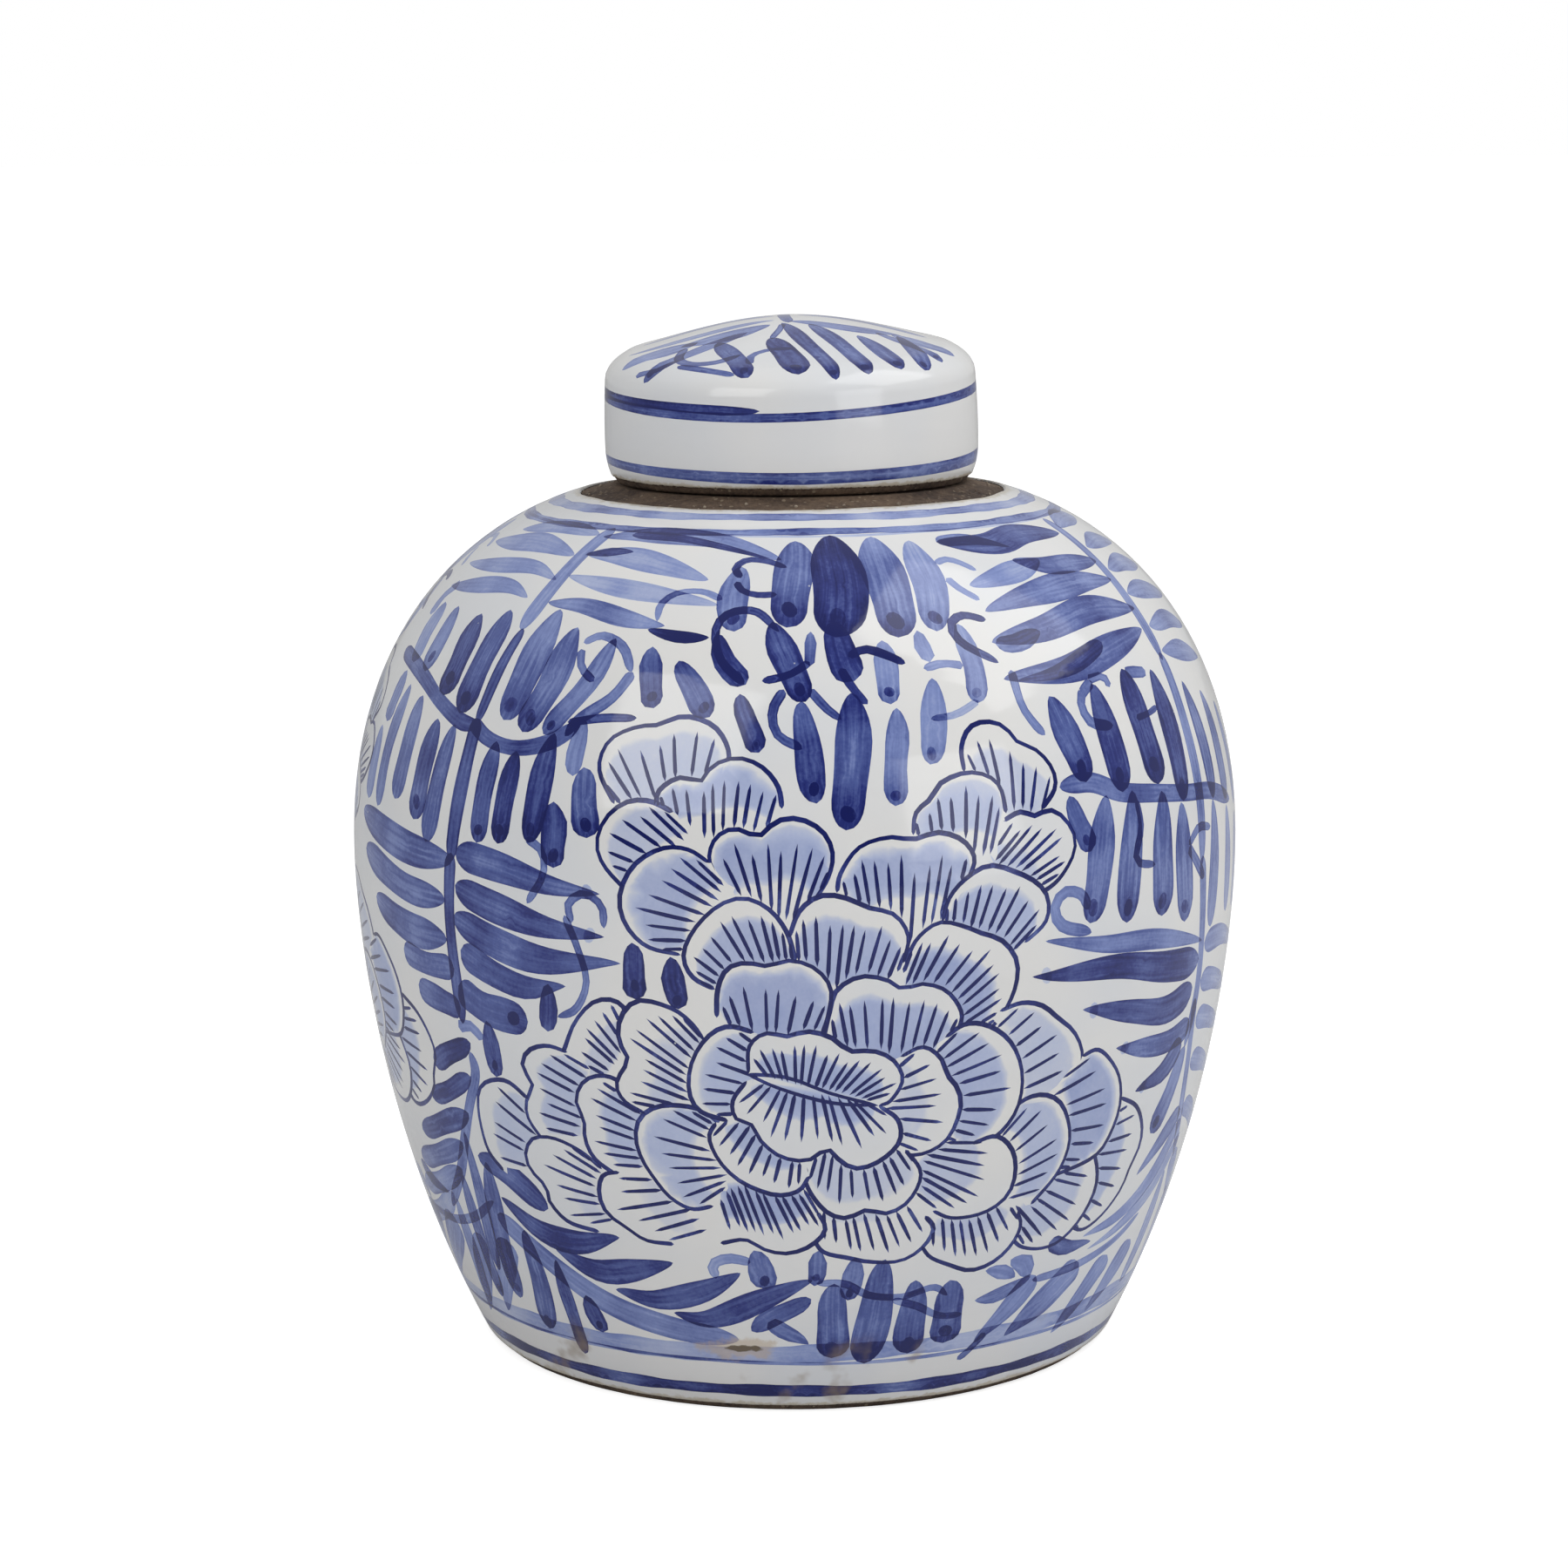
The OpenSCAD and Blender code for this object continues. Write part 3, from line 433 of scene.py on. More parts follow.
SPRAY_RIGHT = strokes(
    (LINE, [(65.5, 205), (64.3, 192), (63, 178), (62.3, 163)], 3.6, 0.48),
    (LINE, [(62.4, 165), (61.8, 150), (61.7, 134), (61.3, 118)], 4.0, 0.5),
    (LINE, [(61.5, 120), (62.3, 104), (62.7, 90), (61.5, 77)], 3.4, 0.5),
    (LEAF, [(28.5, 201.3), (40, 199.6), (50, 201.5), (63, 199.5)], 8.0, 0.7),
    (BLADE, [(28.5, 201.5), (36, 201.5), (44, 197.5)], 4.2, 0.5),
    (LEAF, [(41.5, 193.5), (48, 191), (56, 190.5), (64, 189.5)], 6.0, 0.6),
    (LEAF, [(29.5, 187.5), (38, 189.5), (48, 193)], 5.8, 0.4),
    (LEAF, [(30, 180.5), (40, 183.5), (52, 185.5), (63, 184)], 6.8, 0.55),
    (LEAF, [(29, 173), (38, 175), (50, 178), (63, 176)], 7.2, 0.6),
    (LEAF, [(29, 164.6), (40, 165.3), (50, 168.5), (61, 171)], 6.8, 0.64),
    (DROP, [(38, 174.5), (33, 172.5), (29.5, 172.5)], 4.0, 0.5),
    (BLADE, [(49, 170), (40, 165.5), (31, 164)], 4.0, 0.4),
    (LEAF, [(66, 201), (74, 203.5), (86, 202)], 6.4, 0.46),
    (LEAF, [(66.5, 193.5), (75, 194.5), (86, 192)], 5.2, 0.46),
    (LEAF, [(65.5, 186.5), (74, 187), (85, 184)], 5.6, 0.46),
    (LEAF, [(64.5, 179.5), (74, 179), (84, 176)], 5.6, 0.46),
    (LEAF, [(64, 171), (73, 171), (82, 168)], 5.2, 0.46),
    (LEAF, [(63.5, 165), (72, 163.5), (80, 160)], 5.2, 0.46),
    (LINE, [(30.5, 166.5), (30.7, 159), (32, 154.5), (33.2, 152)], 2.0, 0.5),
    (DROP, [(35.3, 160), (37, 151), (38.3, 141.3)], 6.8, 0.68, 0.35),
    (DROP, [(43.3, 161.5), (44, 150), (44.3, 138)], 6.8, 0.74, 0.3),
    (DROP, [(50.6, 163.5), (51, 150), (51.6, 138)], 7.8, 0.82, 0.2),
    (DROP, [(57.4, 162), (57.4, 148), (57, 133)], 7.0, 0.8, 0.2),
    (DROP, [(65.5, 157.5), (66.3, 144), (66.5, 131)], 5.8, 0.6),
    (DROP, [(71.5, 154), (72.3, 142), (72.5, 129)], 6.2, 0.55),
    (DROP, [(78, 150), (79, 138), (79.5, 126)], 6.0, 0.5),
    (LINE, [(43.5, 162), (40.5, 158.5), (41, 153.5), (45, 152)], 2.4, 0.56),
    (LINE, [(43, 162.5), (46, 162.6), (46.6, 160)], 2.0, 0.56),
    (LINE, [(51, 162.5), (54.5, 162), (56, 162)], 2.6, 0.55),
    (LINE, [(50, 152.5), (53, 153), (55.5, 154)], 1.4, 0.8),
    (LINE, [(34, 141), (39, 141), (44, 138), (51, 136.3), (58, 134.7), (66, 133),
            (75, 128.5)], 4.0, 0.58),
    (DROP, [(35.3, 139), (36.5, 133), (38, 127)], 4.8, 0.62, 0.2),
    (DROP, [(41.3, 138), (39.5, 125), (37.7, 112)], 7.2, 0.54, 0.3),
    (DROP, [(46, 138), (44.8, 124), (44, 110.5)], 7.0, 0.58, 0.3),
    (DROP, [(52, 136.5), (51.3, 123), (51, 110)], 7.4, 0.58, 0.25),
    (DROP, [(56.3, 133), (56.3, 120), (56.7, 107)], 7.0, 0.55, 0.2),
    (DROP, [(66.2, 131), (65.7, 117), (65.3, 103)], 6.0, 0.5),
    (DROP, [(72.5, 128), (72.5, 116), (72.7, 104)], 6.0, 0.45),
    (DROP, [(78.5, 125), (78.5, 114), (78.5, 103)], 6.0, 0.45),
    (LINE, [(37.5, 115), (36.3, 118.5), (33.8, 119.5), (32.3, 116.5), (33.5, 112.5),
            (38, 110)], 2.6, 0.5),
    (LINE, [(46.6, 136), (47, 130), (45.8, 123.5), (49.5, 121.5)], 1.9, 0.62),
    (LINE, [(57.5, 123.5), (60.5, 126.3), (64.5, 125.5)], 1.9, 0.5),
    (LINE, [(57.5, 123), (60, 118.5), (62, 115)], 2.6, 0.5),
    (LEAF, [(62.5, 101), (50, 105.5), (40, 107), (31, 109.7)], 4.4, 0.5),
    (BLADE, [(62, 97), (52, 98.5), (42, 101.5), (29.3, 102.5)], 7.0, 0.76, 0.1),
    (BLADE, [(61, 91), (54, 88.5), (46, 90.5), (37.3, 93.5)], 6.8, 0.68, 0.15),
    (BLADE, [(62, 82), (56, 80.5), (50, 81.5), (44, 83)], 6.0, 0.62, 0.15),
    (BLADE, [(60, 79.5), (55.5, 73.5), (49.5, 71.3)], 5.6, 0.72, 0.15),
    (DROP, [(61.5, 77.5), (59.5, 68), (56, 59)], 6.6, 0.5, 0.35),
    (BLADE, [(65.5, 61), (60, 55.5), (55, 49.3)], 5.4, 0.5),
    (BLADE, [(67, 58), (60, 46.5), (53, 40.5), (45, 38)], 5.0, 0.42),
    (BLADE, [(69, 54), (62, 43), (54, 37), (47, 34)], 4.2, 0.36),
    (LINE, [(62.5, 88), (63.5, 76), (65.5, 62), (69, 48)], 3.0, 0.45),
    (BLADE, [(63.5, 100), (72, 99), (82, 94.5)], 5.4, 0.45),
    (BLADE, [(63.7, 91.5), (71, 89.5), (80, 84)], 5.4, 0.45),
    (BLADE, [(64, 83), (71, 80.5), (80, 75)], 5.4, 0.42),
    (BLADE, [(65, 73), (72, 70), (80, 64)], 5.2, 0.4),
    (BLADE, [(66.5, 62), (73, 57), (80, 50)], 5.2, 0.4),
    (BLADE, [(68.5, 50), (72, 40), (77, 31)], 5.6, 0.4),
    (DROP, [(66, 46), (66, 32), (64, 18)], 5.4, 0.4),
    (DROP, [(71.5, 40), (73, 28), (73, 17)], 5.4, 0.4),
)

# ---------------------------------------------------------------- laying the brushwork out flat

LOAD = 1.02                # how full the brush is, next to the tones that the strokes list
SETTLING = 0.45            # share of a stroke's pool that darkens its whole end, round the blot
OUTLINE_W = 0.98
OUTLINE_TONE = 0.84
HATCH_TONE = 0.8
SEAM_W = 0.8
SEAM_TONE = 0.85
EVEN = (0.03, 0.03, 0.5, 0.5)


def smooth(points, step):
    """Points close together along a smooth curve through the given ones, closer at its ends."""
    p = np.array(points, float)
    if len(p) == 2:
        p = np.array([p[0], p.mean(0), p[1]])
    ends = np.vstack([2 * p[0] - p[1], p, 2 * p[-1] - p[-2]])
    t = np.linspace(0, 1, 12, endpoint=False)[:, None]
    dense = [0.5 * (2 * b + (c - a) * t
                    + (2 * a - 5 * b + 4 * c - d) * t ** 2
                    + (3 * b - a - 3 * c + d) * t ** 3)
             for a, b, c, d in zip(ends, ends[1:], ends[2:], ends[3:])]
    dense = np.vstack(dense + [p[-1:]])
    run = np.concatenate([[0], np.cumsum(np.hypot(*np.diff(dense, axis=0).T))])
    count = max(5, int(round(run[-1] / step)) + 1)
    u = np.linspace(0, 1, count)
    at = (u - 0.1 * np.sin(2 * math.pi * u)) * run[-1]
    return np.stack([np.interp(at, run, dense[:, 0]), np.interp(at, run, dense[:, 1])], -1)


def inside(polygon, points):
    """Which points lie in a closed polygon, by winding number."""
    a = polygon
    b = np.roll(polygon, -1, axis=0)
    x = points[:, 0][:, None]
    y = points[:, 1][:, None]
    side = (b[:, 0] - a[:, 0]) * (y - a[:, 1]) - (x - a[:, 0]) * (b[:, 1] - a[:, 1])
    up = (a[:, 1] <= y) & (b[:, 1] > y) & (side > 0)
    down = (a[:, 1] > y) & (b[:, 1] <= y) & (side < 0)
    return up.sum(1) - down.sum(1) != 0


class Sheet:
    """A flat drawing: what is laid on it, in order, and the mesh that carries it."""

    def __init__(self, stretch, seed):
        self.stretch = stretch       # widening of the flat drawing against the surface, by height
        self.rng = random.Random(seed)
        self.items = []
        self.lines = []

    def ribbon(self, line, width, shape, wobble=0.07):
        """The two edges of a stroke along a line of points, and its half width at each."""
        k = self.stretch(line)
        run = np.gradient(line, axis=0)
        run[:, 0] /= k
        run /= np.linalg.norm(run, axis=1)[:, None] + 1e-9
        side = np.stack([-run[:, 1] * k, run[:, 0]], -1)
        step = np.concatenate([[0], np.cumsum(np.hypot(*np.diff(line, axis=0).T))])
        t = step / step[-1]
        f0, f1, p0, p1 = shape
        half = width / 2 * np.sin(math.pi / 2 * np.minimum(1, t / f0)) ** p0
        half = half * np.sin(math.pi / 2 * np.minimum(1, (1 - t) / f1)) ** p1
        phase = self.rng.uniform(0, 6.28)
        half = half * (1 + wobble * np.sin(phase + t * self.rng.uniform(5, 9)))
        shift = wobble * width * 0.5 * np.sin(phase * 2 + t * self.rng.uniform(4, 8))
        middle = line + side * (shift * np.minimum(1, half))[:, None]
        return middle, middle + side * half[:, None], middle - side * half[:, None], half, t, step

    def pull(self, path, width, shape, tone, pool=0.0, fade=0.0, step=2.0, wobble=0.07, centre=True):
        """Lay one stroke of the brush."""
        line = smooth(path, step)
        middle, left, right, half, t, run = self.ribbon(line, width, shape, wobble)
        outline = np.vstack([left, right[-2:0:-1]])
        uneven = 1 + 0.08 * np.sin(self.rng.uniform(0, 6.28) + run / 3.5)
        depth = tone * (1 - fade * (1 - t)) * uneven
        depth = depth + pool * np.clip((t - 0.62) / 0.3, 0, 1) ** 1.5
        self.items.append(dict(kind="stroke", outline=outline, middle=middle, half=half,
                               run=run, depth=depth))
        self.lines.append((outline, True))
        if centre:
            self.lines.append((middle[1:-1], False))

    def drop(self, path, width, pool):
        """A round blot of settled paint near the end of a stroke."""
        line = smooth(path, 1.0)
        k = float(self.stretch(line)[-1])
        run = line[-1] - line
        left = np.hypot(run[:, 0] / k, run[:, 1])
        at = line[np.abs(left - width * 0.5).argmin()]
        t = np.linspace(0, 2 * math.pi, 12, endpoint=False)
        r = min(1.9, 0.21 * width) * (1 + 0.12 * np.sin(2 * t + self.rng.uniform(0, 6.28)))
        outline = at + np.stack([k * r * np.cos(t), r * 1.15 * np.sin(t)], -1)
        samples = np.vstack([at[None], outline])
        depth = np.concatenate([[pool + 0.25], np.full(12, pool + 0.05)])
        self.items.append(dict(kind="wash", outline=outline, samples=samples, depth=depth))
        self.lines.append((outline, True))
        self.lines.append((at[None], False))

    def reserve(self, outline):
        """Clear what is already laid inside an outline."""
        self.items.append(dict(kind="reserve", outline=outline))

    def wash(self, at, tone, span):
        """A soft band between two shares of the way from a petal's base to its tip."""
        low, high = span
        soft = 0.11
        f = np.linspace(0.03, 0.97, 14)
        far = min(0.97, high + soft)
        near = max(-0.05, low - soft)
        outline = np.vstack([at(f, far), at(f, near)[::-1]])
        w = np.linspace(near, far, 7)
        samples = np.vstack([at(f, v) for v in w])
        rising = np.clip((w - near) / max(low - near, 0.02), 0, 1)
        value = rising * np.clip((far - w) / max(far - high, 0.02), 0, 1)
        edge = np.minimum(1, np.minimum(f - 0.03, 0.97 - f) / 0.08)
        depth = tone * (value[:, None] * edge[None, :]).ravel()
        self.items.append(dict(kind="wash", outline=outline, samples=samples, depth=depth))
        self.lines.append((outline, True))
        for v in (max(low, near + 0.02), min(high, far - 0.02)):
            self.lines.append((at(f[1:-1], v), False))

    def shifted(self, other, dx):
        """Take over what another sheet holds, moved sideways."""
        move = np.array([dx, 0.0])
        for item in other.items:
            copy = dict(item)
            for key in ("outline", "middle", "samples"):
                if key in item:
                    copy[key] = item[key] + move
            self.items.append(copy)
        self.lines += [(line + move, closed) for line, closed in other.lines]


class Petal:
    """One petal set in place: its tip as a smooth line, and its two base corners."""

    def __init__(self, entry, place):
        self.entry = entry
        self.tip = smooth([place(q) for q in entry["tip"]], 1.5)
        run = np.concatenate([[0], np.cumsum(np.hypot(*np.diff(self.tip, axis=0).T))])
        self.share = run / run[-1]
        self.b0, self.b1 = (np.array(place(q)) for q in entry["base"])
        self.body = np.vstack([self.tip, self.b1[None], self.b0[None]])
        middle = (self.b0 + self.b1) / 2
        chord = self.tip[-1] - self.tip[0]
        self.w0 = middle - chord * 0.46
        self.w1 = middle + chord * 0.46

    def at(self, f, w, wide=False):
        """Places a share f across and a share w of the way from the base to the tip."""
        f = np.asarray(f, float)
        edge = np.stack([np.interp(f, self.share, self.tip[:, 0]),
                         np.interp(f, self.share, self.tip[:, 1])], -1)
        b0, b1 = (self.w0, self.w1) if wide else (self.b0, self.b1)
        base = b0 + (b1 - b0) * f[..., None]
        return base + (edge - base) * np.asarray(w, float)[..., None]


def lay_petals(sheet, entries, place):
    """Draw a flower, outer petals first: each clears its body, is washed, hatched and outlined."""
    rng = sheet.rng
    petals = [Petal(entry, place) for entry in entries]
    for number, petal in enumerate(petals):
        e = petal.entry
        later = [p.body for p in petals[number + 1:]]
        sheet.reserve(petal.body)
        sheet.wash(petal.at, e["tone"], e["wash"])
        w = np.linspace(0, 1, 26)
        for i in range(e["hatches"]):
            f = 0.07 + 0.86 * (i + 0.5 + rng.uniform(-0.16, 0.16)) / e["hatches"]
            way = petal.at(np.full(26, f), w, True)
            hidden = ~inside(petal.body, way)
            for body in later:
                hidden |= inside(body, way)
            shown = np.flatnonzero(~hidden)
            if len(shown) < 6:
                continue
            start = w[shown[0]]
            reach = min(0.88, start + (w[shown[-1]] - start) * e["reach"] * rng.uniform(1.1, 1.4))
            path = petal.at(np.full(3, f), np.linspace(start, reach, 3), True)
            if np.hypot(*(path[-1] - path[0])) > 1.5:
                width = rng.uniform(0.72, 0.92)
                sheet.pull(path, width, HATCH, HATCH_TONE, step=3.0, wobble=0.05, centre=False)
        sheet.pull(petal.tip, OUTLINE_W, EVEN, OUTLINE_TONE, step=1.6, wobble=0.14, centre=False)
    for path in SEAM:
        sheet.pull([place(q) for q in path], SEAM_W, LINE, SEAM_TONE, centre=False)


def lay_strokes(sheet, strokes, place):
    """Draw a group of strokes, with a blot of settled paint in those that have one."""
    for s in strokes:
        path = [place(q) for q in s["path"]]
        step = 1.4 if s["shape"] in (LINE, BAR) else 1.7
        sheet.pull(path, s["width"], s["shape"], s["tone"] * LOAD, s["pool"] * SETTLING, s["fade"], step)
        if s["pool"]:
            sheet.drop(path, s["width"], s["pool"])


def flat_mesh(sheet, frame_lines, grid, clear=1.1):
    """Triangles over a sheet whose edges follow everything drawn on it."""
    points = []
    edges = []
    for line, closed in frame_lines + sheet.lines:
        start = len(points)
        points += [tuple(q) for q in line]
        edges += [(start + i, start + i + 1) for i in range(len(line) - 1)]
        if closed:
            edges.append((start + len(line) - 1, start))
    tree = kdtree.KDTree(len(points))
    for i, q in enumerate(points):
        tree.insert((q[0], q[1], 0), i)
    tree.balance()
    points += [q for q in grid if tree.find((q[0], q[1], 0))[2] > clear]
    result = delaunay_2d_cdt([Vector(q) for q in points], edges, [], 0, 1e-5, False)
    verts = np.array([tuple(v) for v in result[0]])
    tris = np.array(result[2])
    return verts, tris


def lay_values(sheet, verts, tris):
    """How much paint lies at each corner of each triangle, and where in its stroke it is."""
    corner = verts[tris]
    centre = corner.mean(1)
    paint = np.zeros(tris.shape)
    grain = np.zeros(tris.shape + (3,))
    for number, item in enumerate(sheet.items):
        outline = item["outline"]
        low = outline.min(0)
        high = outline.max(0)
        near = np.flatnonzero((centre[:, 0] > low[0]) & (centre[:, 0] < high[0])
                              & (centre[:, 1] > low[1]) & (centre[:, 1] < high[1]))
        if not len(near):
            continue
        near = near[inside(outline, centre[near])]
        if not len(near):
            continue
        if item["kind"] == "reserve":
            paint[near] = 0
            grain[near] = 0
            continue
        spots = corner[near].reshape(-1, 2)
        samples = item["samples"] if item["kind"] == "wash" else item["middle"]
        gap = np.linalg.norm(spots[:, None] - samples[None], axis=2)
        first = gap.argmin(1)
        depth = item["depth"][first]
        if item["kind"] == "wash":
            second = np.copy(gap)
            weight = 1 / (second ** 2 + 0.05)
            keep = np.argsort(gap, axis=1)[:, :4]
            w = np.take_along_axis(weight, keep, 1)
            depth = (item["depth"][keep] * w).sum(1) / w.sum(1)
        else:
            across = gap[np.arange(len(spots)), first]
            edge = np.clip(across / np.maximum(item["half"][first], 0.15), 0, 1)
            run = item["run"][first] + number * 7.3
            grain[near] = np.stack([run, across, edge], -1).reshape(len(near), 3, 3)
        depth = depth.reshape(len(near), 3)
        paint[near] = paint[near] + depth - 0.35 * paint[near] * depth
    return np.clip(paint, 0, 1.3), grain

# ---------------------------------------------------------------- surfaces the drawings are wrapped on

FULL = 180 * DEG
COLUMNS = 180


def on_jar(a, s, depth=0.0):
    """Place on the jar at an angle and a length up its outline, in millimetres, and the normal there."""
    r, z = JAR.at(s, depth)
    n = JAR.normal(s)
    point = np.stack([r * np.sin(a), -r * np.cos(a), z], -1)
    return point, np.stack([n[..., 0] * np.sin(a), -n[..., 0] * np.cos(a), n[..., 1]], -1)


def jar_stretch(line):
    """Widening of the jar's flat drawing at each point of a line."""
    return BELLY_R / JAR.at(line[:, 1])[0]


def jar_place(turn=0.0, scale=1.0, lift=0.0):
    """How the listed places fall on the flat drawing, turned round the jar, squeezed and lifted."""
    def place(q):
        return np.array([(q[0] + turn) * DEG, q[1] * scale + lift])
    return place


LID_CURVES = [
    [(RIM_R, RIM_Z), (RIM_R + 1.4, RIM_Z + 1.6), (LID_R - 0.15, RIM_Z + 4.9), (LID_R - 0.1, TUCK_Z)],
    [(LID_R - 0.1, TUCK_Z), (LID_R, TUCK_Z + 5), (LID_R - 0.2, TUCK_Z + 10), (LID_R - 0.6, LID_CORNER_Z - 4)],
    [(LID_R - 0.6, LID_CORNER_Z - 4), (LID_R - 0.9, LID_CORNER_Z - 1.2),
     (LID_CORNER_R + 2.2, LID_CORNER_Z + 0.5), (LID_CORNER_R, LID_CORNER_Z + 1.6)],
    [(LID_CORNER_R, LID_CORNER_Z + 1.6), (LID_CORNER_R * 0.7, LID_CORNER_Z + 4.3),
     (LID_CORNER_R * 0.35, LID_CORNER_Z + DOME_RISE), (0, LID_CORNER_Z + DOME_RISE)],
]
LID = Outline(*joined(LID_CURVES, 40))
S_RIM = LID.s_at_z(RIM_Z + BARE_RIM, 0, 10)
S_CORNER = LID.s_at_r(LID_CORNER_R, 15)
S_SPLIT = LID.length - 43.4
LID_DEG = LID_R * math.pi / 180


def lean(points, share=1.0):
    """Lean the upper part of the lid forward and a little to the left."""
    z = points[:, 2] - TUCK_Z
    t = np.clip((z + 3) / 6, 0, 1)
    t = t * t * (3 - 2 * t) * share
    fore = DOME_LEAN * t
    side = -DOME_LEAN_SIDE * t
    x = points[:, 0] * np.cos(side) + z * np.sin(side)
    z = z * np.cos(side) - points[:, 0] * np.sin(side)
    y = points[:, 1] * np.cos(fore) - z * np.sin(fore)
    z = points[:, 1] * np.sin(fore) + z * np.cos(fore)
    return np.stack([x, y, z + TUCK_Z], -1)


def on_lid(a, s, depth=0.0):
    """Place on the lid at an angle and a length up its outline, and the outward normal there."""
    r, z = LID.at(s, depth)
    n = LID.normal(s)
    point = np.stack([r * np.sin(a), -r * np.cos(a), z], -1)
    normal = np.stack([n[..., 0] * np.sin(a), -n[..., 0] * np.cos(a), n[..., 1]], -1)
    ahead = lean(point + normal * 0.01)
    point = lean(point)
    normal = ahead - point
    return point, normal / np.linalg.norm(normal, axis=-1)[..., None]


# ---------------------------------------------------------------- glaze coats

BEAD = 0.7                                # width over which a coat's edge rounds down to the clay
BEAD_ROWS = (0.0, 0.07, 0.22, 0.45, 0.7)


def bead_depth(gap):
    """Depth of a coat's surface at a distance from its edge."""
    u = np.clip(gap / BEAD, 0, 1)
    return (COAT - 0.02) * (1 - np.sqrt(1 - (1 - u) ** 2))


def ragged(a, amount, seed):
    """An uneven line round a piece, by angle."""
    rng = random.Random(seed)
    total = np.zeros_like(a)
    for n in (2, 3, 5, 8, 13, 21, 34, 55):
        total += rng.uniform(0.4, 1.0) / n ** 0.45 * np.sin(n * a + rng.uniform(0, 6.28))
    return amount * total * 0.45


def eased(t):
    """A smooth ramp from 0 to 1."""
    t = np.clip(t, 0, 1)
    return t * t * (3 - 2 * t)


def weld(points, rim):
    """For each point, the one it joins: points on a patch's rim join others' at the same place."""
    spots = np.flatnonzero(rim)
    tree = kdtree.KDTree(len(spots))
    for i in spots:
        tree.insert(points[i], int(i))
    tree.balance()
    join = np.arange(len(points))
    for i in spots:
        join[i] = min(found[1] for found in tree.find_range(points[i], 2e-3))
    return join[join]


def plain_mesh(name, points, faces, corners=None):
    """A mesh object, in metres, from points in millimetres and what lies at each corner of its faces."""
    data = bpy.data.meshes.new(name)
    data.from_pydata([tuple(p) for p in np.asarray(points) * MM], [], faces)
    data.polygons.foreach_set("use_smooth", [True] * len(data.polygons))
    if corners:
        paint = data.attributes.new("paint", "FLOAT", "CORNER")
        paint.data.foreach_set("value", corners["paint"].astype(np.float32).ravel())
        rim = data.attributes.new("rim", "FLOAT", "CORNER")
        rim.data.foreach_set("value", corners["rim"].astype(np.float32).ravel())
        grain = data.attributes.new("grain", "FLOAT_VECTOR", "CORNER")
        grain.data.foreach_set("vector", corners["grain"].astype(np.float32).ravel())
        uv = data.uv_layers.new(name="OFBake")
        uv.uv.foreach_set("vector", corners["uv"].astype(np.float32).ravel())
        data.normals_split_custom_set([tuple(n) for n in corners["normal"]])
    data.update()
    obj = bpy.data.objects.new(name, data)
    bpy.context.scene.collection.objects.link(obj)
    return obj


class Coat:
    """Patches of a glaze coat, gathered corner by corner and closed behind."""

    def __init__(self):
        self.points = []
        self.rims = []
        self.faces = []
        self.parts = {"paint": [], "grain": [], "rim": [], "uv": [], "normal": []}
        self.count = 0

    def add(self, points, faces, rim, normal, uv, paint=None, grain=None, near=None):
        """Add triangles. normal and uv are given per corner, as paint, grain and nearness to the edge are."""
        self.points.append(points)
        self.rims.append(rim)
        self.faces.append(faces + self.count)
        self.count += len(points)
        n = faces.size
        self.parts["paint"].append(np.zeros(n) if paint is None else paint.ravel())
        self.parts["grain"].append(np.zeros((n, 3)) if grain is None else grain.reshape(-1, 3))
        self.parts["rim"].append(np.zeros(n) if near is None else near.ravel())
        self.parts["uv"].append(uv.reshape(-1, 2))
        self.parts["normal"].append(normal.reshape(-1, 3))

    def behind(self, surface, s_values, wide, last_is_pole):
        """The coat's inner face, running up the given lengths, against the clay."""
        a = np.linspace(-math.pi, math.pi, COLUMNS + 1)[:-1]
        depth = COAT - 0.02
        rows = [wide(a, s) for s in s_values]
        ring = np.arange(COLUMNS)
        nxt = (ring + 1) % COLUMNS
        grid = [surface(a, s, depth) for s in rows]
        points = np.vstack([g[0] for g in grid])
        normals = -np.vstack([g[1] for g in grid])
        bands = len(rows) - 1
        low = (np.arange(bands)[:, None] * COLUMNS + ring).ravel()
        side = (np.arange(bands)[:, None] * COLUMNS + nxt).ravel()
        tris = np.vstack([np.stack([low, low + COLUMNS, side + COLUMNS], -1),
                          np.stack([low, side + COLUMNS, side], -1)])
        along = np.repeat(np.linspace(0.004, 0.018, bands + 1), COLUMNS)
        uv = np.stack([np.tile(ring / COLUMNS, bands + 1) * 0.98 + 0.01, along], -1)
        rim = np.zeros(len(points), bool)
        rim[:COLUMNS] = True
        rim[-COLUMNS:] = True
        self.add(points, tris, rim, normals[tris], uv[tris])
        if last_is_pole:
            top, out = surface(np.zeros(1), np.array([LID.length]), depth)
            fan = np.stack([ring, np.full(COLUMNS, COLUMNS), nxt], -1)
            points = np.vstack([points[-COLUMNS:], top])
            normals = np.vstack([normals[-COLUMNS:], -out])
            uv = np.vstack([uv[-COLUMNS:], [[0.5, 0.019]]])
            self.add(points, fan, np.ones(len(points), bool), normals[fan], uv[fan])

    def build(self, name):
        """The finished mesh object, checked to be closed."""
        points = np.vstack(self.points)
        faces = weld(points, np.concatenate(self.rims))[np.vstack(self.faces)]
        corners = {key: np.concatenate(value) for key, value in self.parts.items()}
        used, back = np.unique(faces, return_inverse=True)
        faces = back.reshape(-1, 3)
        size = len(used)
        there = np.concatenate([faces[:, i] * size + faces[:, (i + 1) % 3] for i in range(3)])
        again = np.concatenate([faces[:, (i + 1) % 3] * size + faces[:, i] for i in range(3)])
        loose = len(there) - len(np.intersect1d(there, again))
        if loose:
            raise RuntimeError(f"{name}: {loose} edges of the coat are open")
        return plain_mesh(name, points[used], faces.tolist(), corners)


